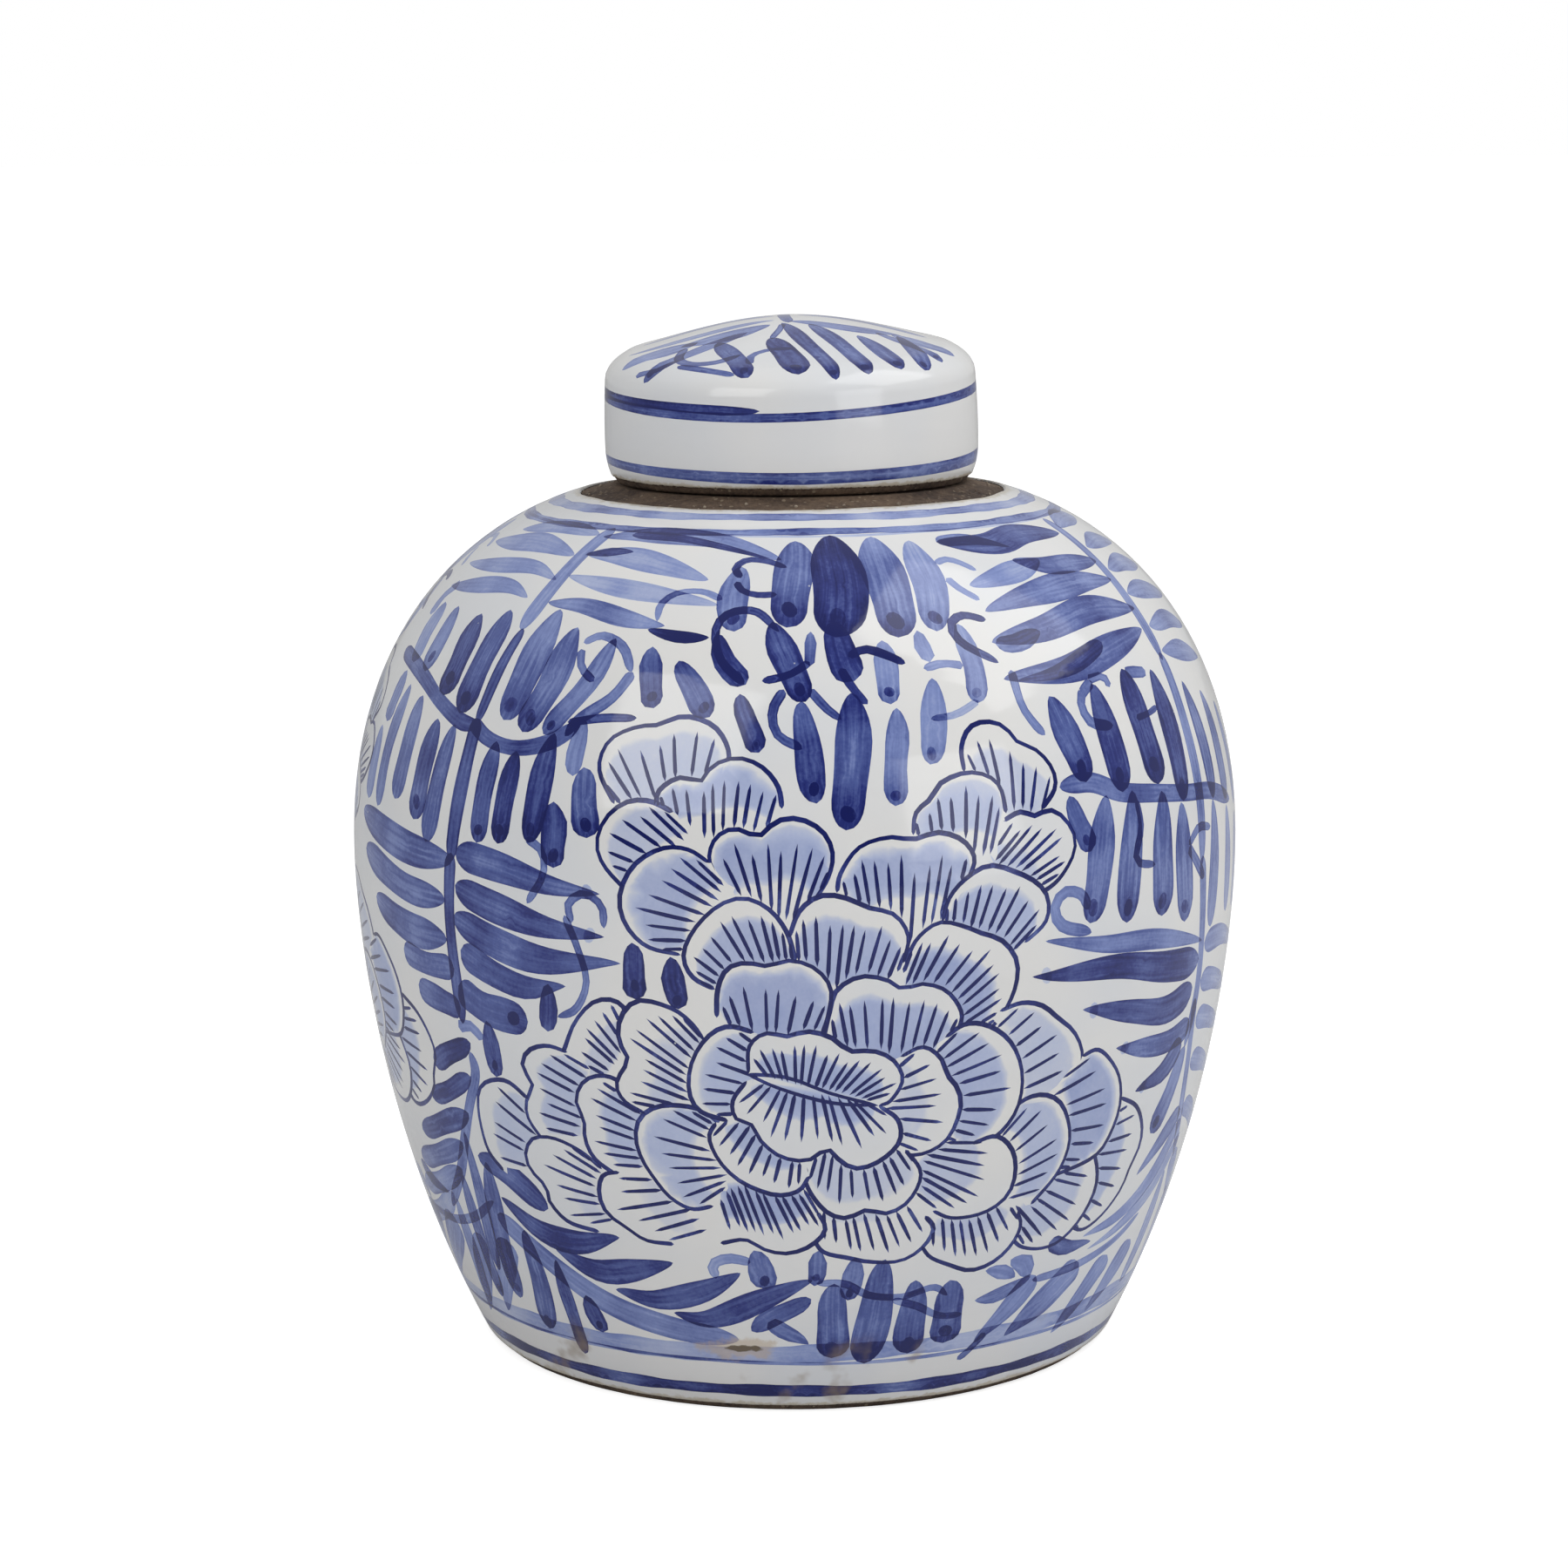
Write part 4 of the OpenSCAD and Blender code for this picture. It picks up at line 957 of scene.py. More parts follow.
def band_sheet(sheet, half, rows, pitch):
    """Mesh of a flat drawing that runs all the way round: its columns are evenly spaced."""
    columns = np.linspace(-half, half, COLUMNS + 1)
    y0, y1 = rows[0], rows[-1]
    inner = [r for r in rows if r - y0 <= BEAD + 0.01 or y1 - r <= BEAD + 0.01]
    frame_lines = [(np.stack([columns, np.full_like(columns, y)], -1), False) for y in inner]
    for x in (-half, -half / 2, half / 2, half):
        frame_lines.append((np.array([(x, y) for y in rows]), False))
    grid = [(x, y) for y in rows if y not in inner for x in columns[1:-1]]
    copies = Sheet(sheet.stretch, 0)
    for shift in (0, -2 * half, 2 * half):
        copies.shifted(sheet, shift)
    copies.items = [i for i in copies.items
                    if i["outline"][:, 0].max() > -half + 0.01 and i["outline"][:, 0].min() < half - 0.01]
    copies.lines = [(line, closed) for line, closed in copies.lines
                    if line[:, 0].max() > -half - 4 and line[:, 0].min() < half + 4]
    verts, tris = flat_mesh(copies, frame_lines, grid, pitch)
    centre = verts[tris].mean(1)
    tris = tris[(np.abs(centre[:, 0]) < half) & (centre[:, 1] > y0) & (centre[:, 1] < y1)]
    for axis, marks in ((0, columns), (1, np.array(rows))):
        near = marks[np.abs(verts[:, axis][:, None] - marks[None]).argmin(1)]
        verts[:, axis] = np.where(np.abs(verts[:, axis] - near) < 3e-4, near, verts[:, axis])
    paint, grain = lay_values(copies, verts, tris)
    return verts, tris, paint, grain


def wrap(coat, verts, tris, paint, grain, surface, wide, per_degree, rows, v_front, v_back, v_tall, tip_top):
    """Wrap a flat drawing round a piece and add it to the coat."""
    a = verts[:, 0] / per_degree * math.pi / 180
    a = np.where(np.isclose(a, math.pi), -math.pi, a)
    low_gap = verts[:, 1] - rows[0]
    top_gap = rows[-1] - verts[:, 1] if tip_top else np.full(len(verts), 9.0)
    s = wide(a, verts[:, 1])
    depth = bead_depth(low_gap) + bead_depth(top_gap)
    points, normals = surface(a, s, depth)
    ahead = surface(a, s + 0.05, depth)[0] - points
    ahead /= np.linalg.norm(ahead, axis=1)[:, None] + 1e-12
    tip = 1.6 * (1 - np.clip(top_gap / BEAD, 0, 1)) ** 1.5 - 1.6 * (1 - np.clip(low_gap / BEAD, 0, 1)) ** 1.5
    normals = normals + ahead * tip[:, None]
    normals /= np.linalg.norm(normals, axis=1)[:, None]
    half = 180 * per_degree
    back = (np.abs(verts[tris].mean(1)[:, 0]) > half / 2)[:, None]
    x = verts[tris][..., 0]
    u = np.where(back, np.where(x > 0, x - half, x + half), x) / half * 0.98 + 0.5
    v = (verts[tris][..., 1] - rows[0]) / (rows[-1] - rows[0]) * v_tall
    uv = np.stack([u, np.where(back, v + v_back, v + v_front)], -1)
    rim = (np.abs(verts[:, 0]) >= half) | (low_gap <= 0) | (verts[:, 1] >= rows[-1])
    near = np.clip(1 - np.minimum(low_gap / 2.2, top_gap / 2.6), 0, 1)
    coat.add(points, tris, rim, normals[tris], uv, paint, grain, near[tris])


def jar_drawing():
    """Everything painted on the jar, laid out flat."""
    sheet = Sheet(jar_stretch, 7)
    place = jar_place()
    left = jar_place(-107, 0.85, 31)
    right = jar_place(127, 1.0, 0)
    lay_rings(sheet)
    lay_strokes(sheet, SPRAY_LEFT, jar_place(234, 1.0, 0))
    for spot in (left, right):
        lay_strokes(sheet, SPRAY_OVER_PEONY, spot)
        lay_petals(sheet, PEONY, spot)
    lay_strokes(sheet, SPRAY_BELOW, jar_place(-107, 1.35, -4))
    lay_strokes(sheet, SPRAY_BELOW, right)
    lay_strokes(sheet, SPRAY_RIGHT, place)
    lay_strokes(sheet, SPRAY_LEFT, place)
    lay_strokes(sheet, SPRAY_OVER_PEONY, place)
    lay_petals(sheet, PEONY, place)
    lay_strokes(sheet, SPRAY_BELOW, place)
    return sheet


# Each plain ring's place up the outline, width and tone.
RINGS = [(213.2, 3.4, 0.42), (206.6, 2.6, 0.5), (205.6, 0.8, 0.22),
         (16.6, 4.6, 0.32), (14.2, 0.9, 0.45), (5.8, 3.2, 0.85)]


def lay_rings(sheet):
    """The plain rings on the shoulder and above the foot."""
    for s, width, tone in RINGS:
        x = np.linspace(-FULL, FULL, 150)
        turn = x / FULL * math.pi
        drift = sheet.rng.uniform(0, 6.28)
        y = s + 0.35 * np.sin(2 * turn + drift) + 0.2 * np.sin(7 * turn + drift)
        middle = np.stack([x, y], -1)
        half = width / 2 * (1 + 0.12 * np.sin(13 * turn + drift) + 0.08 * np.sin(37 * turn))
        across = np.stack([0 * x, half], -1)
        outline = np.vstack([middle + across, (middle - across)[::-1]])
        depth = tone * (1 + 0.18 * np.sin(8 * turn + drift) + 0.12 * np.sin(23 * turn + 2 * drift))
        sheet.items.append(dict(kind="stroke", outline=outline, middle=middle, half=half,
                                run=x + 400, depth=depth))
        sheet.lines.append((outline[:150], False))
        sheet.lines.append((outline[150:], False))
        sheet.lines.append((middle, False))


def make_jar_coat():
    """The jar's outer glaze with all its brushwork."""
    sheet = jar_drawing()
    rows = [S_FOOT + g for g in BEAD_ROWS] + list(np.linspace(S_FOOT + 4, S_RING - 4, 60))
    rows += [S_RING - g for g in BEAD_ROWS[::-1]]
    verts, tris, paint, grain = band_sheet(sheet, FULL, rows, 1.1)

    def wide(a, s):
        upper = ragged(a, 0.8, 5) * eased((s - S_RING + 5) / 5)
        return s + (upper + ragged(a, 0.35, 9) * eased((S_FOOT + 3 - s) / 3))

    coat = Coat()
    wrap(coat, verts, tris, paint, grain, on_jar, wide, DEG, rows, 0.52, 0.03, 0.46, True)
    coat.behind(on_jar, np.linspace(S_FOOT, S_RING, 60), wide, False)
    return coat.build("jar_outer_coat")


# ---------------------------------------------------------------- the lid's drawing

# Places on the lid's side are (degrees round from the front, millimetres above the jar's foot);
# places on its top are millimetres to the right of and behind the middle.
SIDE_BANDS = strokes(
    (BAR, [(-200, 213.1), (-180, 213.0), (-120, 213.2), (-80, 213.0), (-40, 212.4), (-5, 212.2),
           (40, 212.7), (80, 213.0), (120, 213.2), (180, 213.0), (200, 212.9)], 2.1, 0.7),
    (BAR, [(-200, 198.6), (-180, 198.4), (-120, 198.5), (-75, 198.1), (-40, 197.1), (0, 196.4),
           (40, 197.2), (80, 198.3), (120, 198.6), (180, 198.4), (200, 198.2)], 2.7, 0.6),
    (BAR, [(-100, 214.0), (-60, 213.9), (-30, 213.8), (-9, 213.6)], 2.0, 0.86),
)
TOP_STROKES = strokes(
    (LEAF, [(0, -6.5), (12, -9.5), (25, -7)], 5.5, 0.5),
    (LEAF, [(-37.8, -15), (-30, -15), (-20, -13.5)], 7.5, 0.46),
    (LEAF, [(-24, -14), (-14, -13.5), (-4, -9)], 7.0, 0.5),
    (LEAF, [(-36, -8), (-20, -7.5), (-3, -5)], 4.0, 0.4),
    (LEAF, [(22.5, -8.5), (30, -11), (37, -13)], 6.5, 0.5),
    (DROP, [(-9, -13), (-20, -20), (-33, -26.8)], 4.4, 0.5, 0.3),
    (DROP, [(19, -9.5), (26, -14), (34, -20.5)], 3.6, 0.56, 0.2),
    (LINE, [(-23, -16), (-24.3, -23), (-21.5, -28), (-16, -29.5), (-10.5, -27)], 2.4, 0.6),
    (LINE, [(-34.5, -22.5), (-29, -25.5), (-24, -24)], 1.8, 0.55),
    (LINE, [(-24.5, -27.5), (-18, -33), (-12, -37)], 1.8, 0.6),
    (DROP, [(-15.5, -17), (-12.5, -27), (-9.0, -38.5)], 5.0, 0.66, 0.3),
    (LINE, [(-1.2, -9), (-2.2, -14), (-3.8, -19.5)], 1.6, 0.6),
    (DROP, [(-4, -18.5), (-0.5, -28), (2, -38.7)], 6.2, 0.78, 0.4),
    (LINE, [(-8.6, -33), (-8, -28), (-4, -25.6), (1.2, -25.6)], 1.8, 0.6),
    (DROP, [(-1.5, -8), (3, -20), (7, -30), (10.2, -39.5)], 4.0, 0.68, 0.3),
    (DROP, [(4.5, -9), (10, -19), (14, -28), (17.3, -36)], 4.8, 0.64, 0.4),
    (DROP, [(15, -14.5), (19, -21), (24.6, -31)], 4.8, 0.6, 0.4),
    (DROP, [(24, -8.5), (27.3, -17), (30, -27.6)], 4.3, 0.6, 0.3),
    (LINE, [(0, -8), (-1, 4), (2, 18), (0, 34)], 2.6, 0.6),
    (LEAF, [(2, 2), (14, 3), (31, -1)], 5.5, 0.5),
    (LEAF, [(2, 9), (14, 12), (32, 11)], 5.5, 0.5),
    (LEAF, [(2, 17), (12, 22), (26, 24)], 5.5, 0.5),
    (LEAF, [(-3, 1), (-15, 4), (-33, 2)], 5.5, 0.48),
    (LEAF, [(-2, 9), (-14, 13), (-31, 14)], 5.5, 0.5),
    (LEAF, [(-2, 17), (-11, 23), (-24, 26)], 5.5, 0.5),
    (DROP, [(6, 24), (9, 29), (10, 36)], 5.0, 0.6, 0.3),
    (DROP, [(-6, 25), (-8, 30), (-10, 36)], 5.0, 0.6, 0.3),
)


def lid_stretch(line):
    """Widening of the flat drawing of the lid's side at each point of a line."""
    return LID_R / np.maximum(LID.at(line[:, 1])[0], 10)


def make_lid_coat():
    """The lid's outer glaze: its side is drawn flat as a band and its top as a disc."""
    side = Sheet(lid_stretch, 3)
    for s in SIDE_BANDS:
        path = np.array(s["path"], float)
        path = np.stack([path[:, 0] * LID_DEG, [LID.s_at_z(z, 0, S_CORNER) for z in path[:, 1]]], -1)
        side.pull(path, s["width"], s["shape"], s["tone"], step=3.0, wobble=0.1)
    rows = [S_RIM + g for g in BEAD_ROWS] + list(np.linspace(S_RIM + 2.2, S_SPLIT, 16))
    verts, tris, paint, grain = band_sheet(side, 180 * LID_DEG, rows, 0.9)

    def wide(a, s):
        return s + ragged(a, 0.3, 12) * eased((S_RIM + 3 - s) / 3)

    coat = Coat()
    wrap(coat, verts, tris, paint, grain, on_lid, wide, LID_DEG, rows, 0.74, 0.5, 0.22, False)

    top = Sheet(lambda line: np.ones(len(line)), 11)
    lay_strokes(top, TOP_STROKES, np.array)
    reach = LID.length - S_SPLIT
    a = np.linspace(-math.pi, math.pi, COLUMNS + 1)[:-1]
    circle = np.stack([reach * np.sin(a), -reach * np.cos(a)], -1)
    grid = [(i * 1.5 + (j % 2) * 0.75, j * 1.3) for i in range(-30, 31) for j in range(-34, 35)
            if math.hypot(i * 1.5 + (j % 2) * 0.75, j * 1.3) < reach - 1.0]
    verts, tris = flat_mesh(top, [(circle, True)], grid, 0.6)
    centre = verts[tris].mean(1)
    far = np.hypot(*centre.T) > reach * math.cos(math.pi / COLUMNS) - 1e-3
    tris = tris[~far]
    paint, grain = lay_values(top, verts, tris)
    rho = np.hypot(*verts.T)
    at_rim = np.abs(rho - reach) < 3e-4
    angle = np.arctan2(verts[:, 0], -verts[:, 1])
    angle = np.where(at_rim, a[np.abs(np.angle(np.exp(1j * (angle[:, None] - a[None])))).argmin(1)], angle)
    s = np.where(at_rim, S_SPLIT, LID.length - rho)
    points, normals = on_lid(angle, s)
    uv = 0.25 + verts / reach * 0.21
    coat.add(points, tris, at_rim, normals[tris], uv[tris], paint, grain)
    inner = list(np.linspace(S_RIM, S_SPLIT, 20)) + list(np.linspace(S_SPLIT, LID.length, 14)[1:-1])
    coat.behind(on_lid, np.array(inner), wide, True)
    return coat.build("lid_outer_coat")


# ---------------------------------------------------------------- turned clay

RECESS_R = FOOT_R - FOOT_RING_W
FOOT_BEVEL = 0.8
LIP_BEVEL = 1.2


def skin(depth, s0, s1, count):
    """Points of the jar's outline at a depth, between two lengths."""
    r, z = JAR.at(np.linspace(s0, s1, count), depth)
    return [(float(a), float(b)) for a, b in zip(r, z)]


def s_of_height(z, depth):
    """Length up the lower wall where the skin at a depth reaches a height."""
    s = np.linspace(0, S_BELLY, 400)
    return float(np.interp(z, JAR.at(s, depth)[1], s))


def arc(middle, radius, start, end, count):
    """Points of a circular arc, by angles in degrees."""
    return [(middle[0] + radius * math.cos(math.radians(t)), middle[1] + radius * math.sin(math.radians(t)))
            for t in np.linspace(start, end, count)]


def cavity(depth, floor, top):
    """The jar's hollow at a depth below its outside, from the middle of the floor up to a height."""
    rise = 16.0
    s0 = s_of_height(floor + rise, depth)
    r, z = (float(v) for v in JAR.at(s0, depth))
    corner = [(r - rise + rise * math.sin(t), z - rise * math.cos(t))
              for t in np.linspace(0, math.pi / 2, 12)]
    s = np.linspace(s0 + 2, JAR.length, 90)
    rr, zz = JAR.at(s, depth)
    wall = [(float(a), float(b)) for a, b in zip(rr, zz) if b < top]
    return [(0, floor)] + corner + wall


def jar_clay_outline():
    """The jar's clay from the middle of its underside, round the outside and back to its floor."""
    s0 = s_of_height(FOOT_BEVEL, COAT)
    s1 = JAR.s_at_r(SEAT_R + 1.5, S_BELLY)
    foot = float(JAR.at(s0, COAT)[0])
    under = [(0, RECESS_H), (20, RECESS_H), (42, RECESS_H), (RECESS_R - 2, RECESS_H)]
    under += [(RECESS_R - 0.6, RECESS_H - 0.6), (RECESS_R, RECESS_H - 2), (RECESS_R, FOOT_BEVEL)]
    under += [(RECESS_R + FOOT_BEVEL, 0), (RECESS_R + 3, 0), (foot - 3, 0), (foot - FOOT_BEVEL, 0)]
    outside = skin(COAT, s0, S_RING - 4, 84) + skin(COAT, S_RING - 3.4, s1, 24)
    neck = [(SEAT_R, SEAT_Z), (SEAT_R - 1.5, SEAT_Z), (NECK_R + 2.2, SEAT_Z), (NECK_R + 0.6, SEAT_Z + 0.6),
            (NECK_R, SEAT_Z + 2.2), (NECK_R, SEAT_Z + 7), (NECK_R, SEAT_Z + 12),
            (NECK_R, LIP_Z - LIP_BEVEL),
            (NECK_R - 0.4, LIP_Z - 0.4), (NECK_R - LIP_BEVEL, LIP_Z), (MOUTH_R + LIP_BEVEL, LIP_Z),
            (MOUTH_R + 0.35, LIP_Z - 0.35), (MOUTH_R, LIP_Z - LIP_BEVEL), (MOUTH_R, LIP_Z - 8),
            (MOUTH_R, SEAT_Z), (MOUTH_R, SEAT_Z - 5), (MOUTH_R + 1.5, SEAT_Z - 7)]
    hollow = cavity(COAT + WALL, FLOOR_Z, SEAT_Z - 7.5)
    return under + outside + neck + hollow[::-1]


def bareness(r, z):
    """1 where the jar's clay shows: on the ring round the neck, on the neck and under the foot."""
    ring = eased((BARE_RING_R + 1.5 - r) / 2) * eased((z - 150) / 10)
    foot = eased((2.2 - z) / 1.2)
    return max(ring, foot)


def lid_hollow_outline(depth, low):
    """The lid's hollow at a depth into it, from its rim up to the middle of its ceiling."""
    r = LID_IN_R - depth
    top = CEILING_Z - depth
    wall = [(r, low), (r, low + 2), (r, low + 7), (r, low + 12)]
    corner = arc((r - 4, top - 4), 4, 0, 90, 8)
    ceiling = [((r - 4) * s, top + CEILING_RISE * (1 - s * s)) for s in np.linspace(1, 0, 12)[1:]]
    return wall + corner + ceiling


def lid_clay_outline():
    """The lid's clay from the middle of its top, down the outside, under the rim and up its hollow."""
    s = np.linspace(LID.length, 0, 70)
    r, z = LID.at(s, COAT)
    outside = [(max(0.0, float(a)), float(b)) for a, b in zip(r, z)]
    outside[0] = (0.0, outside[0][1])
    rim = [(RIM_R - COAT - 0.5, RIM_Z), (LID_IN_R + 0.6, RIM_Z), (LID_IN_R, RIM_Z + 0.6)]
    return outside, rim + lid_hollow_outline(0, RIM_Z + 1.5)


def profile_object(name, points, bare, outer):
    """A wire along a turned shape's section, carrying how bare and how far outside each point is."""
    data = bpy.data.meshes.new(name)
    wire = [((r - 1000) * MM, -z * MM, 0) for r, z in points]
    data.from_pydata(wire, [(i, i + 1) for i in range(len(wire) - 1)], [])
    data.attributes.new("bare", "FLOAT", "POINT").data.foreach_set("value", bare)
    data.attributes.new("outer", "FLOAT", "POINT").data.foreach_set("value", outer)
    obj = bpy.data.objects.new(name, data)
    bpy.context.scene.collection.objects.link(obj)
    return obj


# ---------------------------------------------------------------- geometry nodes


def new_tree(name, sockets):
    """A geometry node group with its inputs, and its two end nodes."""
    tree = bpy.data.node_groups.new(name, "GeometryNodeTree")
    tree.interface.new_socket("Geometry", in_out="INPUT", socket_type="NodeSocketGeometry")
    for label, kind, default in sockets:
        s = tree.interface.new_socket(label, in_out="INPUT", socket_type=kind)
        if default is not None:
            s.default_value = default
    tree.interface.new_socket("Geometry", in_out="OUTPUT", socket_type="NodeSocketGeometry")
    return tree, tree.nodes.new("NodeGroupInput"), tree.nodes.new("NodeGroupOutput")


def put(tree, kind, values=None, links=None, **options):
    """Add a node, set its options and input values, and link inputs to other sockets."""
    n = tree.nodes.new(kind)
    for key, value in options.items():
        setattr(n, key, value)
    for key, value in (values or {}).items():
        n.inputs[key].default_value = value
    for key, source in (links or {}).items():
        tree.links.new(source, n.inputs[key])
    return n


def turned_tree():
    """Turn a wire section into a closed body whose bare clay is rough."""
    tree, given, out = new_tree("Turned clay", [
        ("Columns", "NodeSocketInt", COLUMNS), ("Roughness", "NodeSocketFloat", 0.3 * MM),
        ("Grain size", "NodeSocketFloat", 700.0), ("Seed", "NodeSocketFloat", 1.0),
        ("Material", "NodeSocketMaterial", None)])
    section = put(tree, "GeometryNodeMeshToCurve", links={0: given.outputs["Geometry"]})
    circle = put(tree, "GeometryNodeCurvePrimitiveCircle", {"Radius": 1.0},
                 {"Resolution": given.outputs["Columns"]})
    upright = put(tree, "GeometryNodeSetCurveNormal", links={0: circle.outputs[0]}, mode="Z_UP")
    body = put(tree, "GeometryNodeCurveToMesh", links={0: upright.outputs[0], 1: section.outputs[0]})
    closed = put(tree, "GeometryNodeMergeByDistance", {"Distance": 0.01 * MM}, {0: body.outputs[0]})
    place = put(tree, "GeometryNodeInputPosition")
    noise = put(tree, "ShaderNodeTexNoise", {"Detail": 6.0, "Roughness": 0.65},
                {"Vector": place.outputs[0], "W": given.outputs["Seed"],
                 "Scale": given.outputs["Grain size"]},
                noise_dimensions="4D")
    bare = put(tree, "GeometryNodeInputNamedAttribute", {"Name": "bare"}, data_type="FLOAT")
    depth = put(tree, "ShaderNodeMath", links={0: noise.outputs[0], 1: bare.outputs[0]}, operation="MULTIPLY")
    sunk = put(tree, "ShaderNodeMath", links={0: depth.outputs[0], 1: given.outputs["Roughness"]},
               operation="MULTIPLY")
    normal = put(tree, "GeometryNodeInputNormal")
    inward = put(tree, "ShaderNodeVectorMath", links={0: normal.outputs[0], "Scale": sunk.outputs[0]},
                 operation="SCALE")
    moved = put(tree, "GeometryNodeSetPosition", links={0: closed.outputs[0], "Offset": inward.outputs[0]})
    smooth_faces = put(tree, "GeometryNodeSetShadeSmooth", links={0: moved.outputs[0]})
    real = put(tree, "GeometryNodeRealizeInstances", links={0: smooth_faces.outputs[0]})
    done = put(tree, "GeometryNodeSetMaterial",
               links={0: real.outputs[0], "Material": given.outputs["Material"]})
    tree.links.new(done.outputs[0], out.inputs[0])
    return tree


def grit_tree():
    """Scatter crumbs over the faces whose `here` value is high."""
    tree, given, out = new_tree("Kiln grit", [
        ("Density", "NodeSocketFloat", 20000.0), ("Smallest", "NodeSocketFloat", 0.12 * MM),
        ("Largest", "NodeSocketFloat", 0.4 * MM), ("Seed", "NodeSocketInt", 4),
        ("Material", "NodeSocketMaterial", None)])
    here = put(tree, "GeometryNodeInputNamedAttribute", {"Name": "here"}, data_type="FLOAT")
    high = put(tree, "FunctionNodeCompare", {"B": 0.5}, {"A": here.outputs[0]}, operation="GREATER_THAN")
    spots = put(tree, "GeometryNodeDistributePointsOnFaces", links={
        "Mesh": given.outputs["Geometry"], "Selection": high.outputs[0],
        "Density": given.outputs["Density"], "Seed": given.outputs["Seed"]})
    ball = put(tree, "GeometryNodeMeshIcoSphere", {"Radius": 1.0, "Subdivisions": 2})
    size = put(tree, "FunctionNodeRandomValue", links={
        "Min": given.outputs["Smallest"], "Max": given.outputs["Largest"], "Seed": given.outputs["Seed"]},
        data_type="FLOAT")
    turn = put(tree, "FunctionNodeRandomValue", {"Min": (0, 0, 0), "Max": (6.28, 6.28, 6.28)},
               {"Seed": given.outputs["Seed"]}, data_type="FLOAT_VECTOR")
    crumbs = put(tree, "GeometryNodeInstanceOnPoints", links={
        "Points": spots.outputs[0], "Instance": ball.outputs[0], "Rotation": turn.outputs["Value"],
        "Scale": size.outputs[1]})
    real = put(tree, "GeometryNodeRealizeInstances", links={0: crumbs.outputs[0]})
    place = put(tree, "GeometryNodeInputPosition")
    noise = put(tree, "ShaderNodeTexNoise", {"Scale": 2500.0, "Detail": 2.0}, {"Vector": place.outputs[0]})
    shifted = put(tree, "ShaderNodeVectorMath", {1: (-0.5, -0.5, -0.5)}, {0: noise.outputs["Color"]},
                  operation="ADD")
    small = put(tree, "ShaderNodeVectorMath", {"Scale": 0.25 * MM}, {0: shifted.outputs[0]},
                operation="SCALE")
    moved = put(tree, "GeometryNodeSetPosition", links={0: real.outputs[0], "Offset": small.outputs[0]})
    done = put(tree, "GeometryNodeSetMaterial",
               links={0: moved.outputs[0], "Material": given.outputs["Material"]})
    tree.links.new(done.outputs[0], out.inputs[0])
    return tree


def grown(source, tree, name, settings):
    """The plain mesh object that a node group makes from a source object, which is then removed."""
    modifier = source.modifiers.new("Shape", "NODES")
    modifier.node_group = tree
    keys = {s.name: s.identifier for s in tree.interface.items_tree if s.in_out == "INPUT"}
    for label, value in settings.items():
        modifier[keys[label]] = value
    bpy.context.view_layer.update()
    graph = bpy.context.evaluated_depsgraph_get()
    data = bpy.data.meshes.new_from_object(source.evaluated_get(graph))
    bpy.data.objects.remove(source, do_unlink=True)
    data.name = name
    obj = bpy.data.objects.new(name, data)
    bpy.context.scene.collection.objects.link(obj)
    if not data.polygons:
        raise RuntimeError(f"{name}: the node group made nothing")
    return obj


def volume(data):
    """Signed volume of a closed mesh."""
    data.calc_loop_triangles()
    co = np.zeros(len(data.vertices) * 3)
    data.vertices.foreach_get("co", co)
    co = co.reshape(-1, 3)
    tri = np.zeros(len(data.loop_triangles) * 3, np.int32)
    data.loop_triangles.foreach_get("vertices", tri)
    a, b, c = (co[tri.reshape(-1, 3)[:, i]] for i in range(3))
    return float((a * np.cross(b, c)).sum() / 6)


def turned(name, points, tree, material, bare=None, outer=None, rough=0.0, grain=700.0, seed=1.0):
    """A turned body from its section."""
    bare = bare or [0.0] * len(points)
    outer = outer or [0.0] * len(points)
    wire = profile_object(name + "_section", points, bare, outer)
    obj = grown(wire, tree, name, {"Columns": COLUMNS, "Roughness": rough * MM, "Grain size": grain,
                                   "Seed": seed, "Material": material})
    low = min(v.co.z for v in obj.data.vertices)
    if abs(low - min(z for _, z in points) * MM) > 1 * MM:
        raise RuntimeError(f"{name}: the section was turned the wrong way up")
    if volume(obj.data) < 0:
        obj.data.flip_normals()
    return obj


# ---------------------------------------------------------------- finishes


def shader_group(name, inputs, outputs):
    """A shader node group with its sockets and its two end nodes."""
    tree = bpy.data.node_groups.new(name, "ShaderNodeTree")
    for label, kind, default in inputs:
        s = tree.interface.new_socket(label, in_out="INPUT", socket_type=kind)
        s.default_value = default
    for label, kind in outputs:
        tree.interface.new_socket(label, in_out="OUTPUT", socket_type=kind)
    return tree, tree.nodes.new("NodeGroupInput"), tree.nodes.new("NodeGroupOutput")


def maths(tree, operation, a, b):
    """One sum on two values, each a number or a socket."""
    n = tree.nodes.new("ShaderNodeMath")
    n.operation = operation
    for i, v in enumerate((a, b)):
        if isinstance(v, (int, float)):
            n.inputs[i].default_value = v
        else:
            tree.links.new(v, n.inputs[i])
    return n.outputs[0]


def times(tree, a, b):
    return maths(tree, "MULTIPLY", a, b)


def plus(tree, a, b):
    return maths(tree, "ADD", a, b)


def noise_at(tree, where, scale, detail=3.0, roughness=0.55, stretch=None):
    """A noise value at a place, with its axes stretched if asked."""
    if stretch:
        s = put(tree, "ShaderNodeVectorMath", {1: stretch}, {0: where}, operation="MULTIPLY")
        where = s.outputs[0]
    n = put(tree, "ShaderNodeTexNoise", {"Scale": scale, "Detail": detail, "Roughness": roughness},
            {"Vector": where})
    return n.outputs[0]


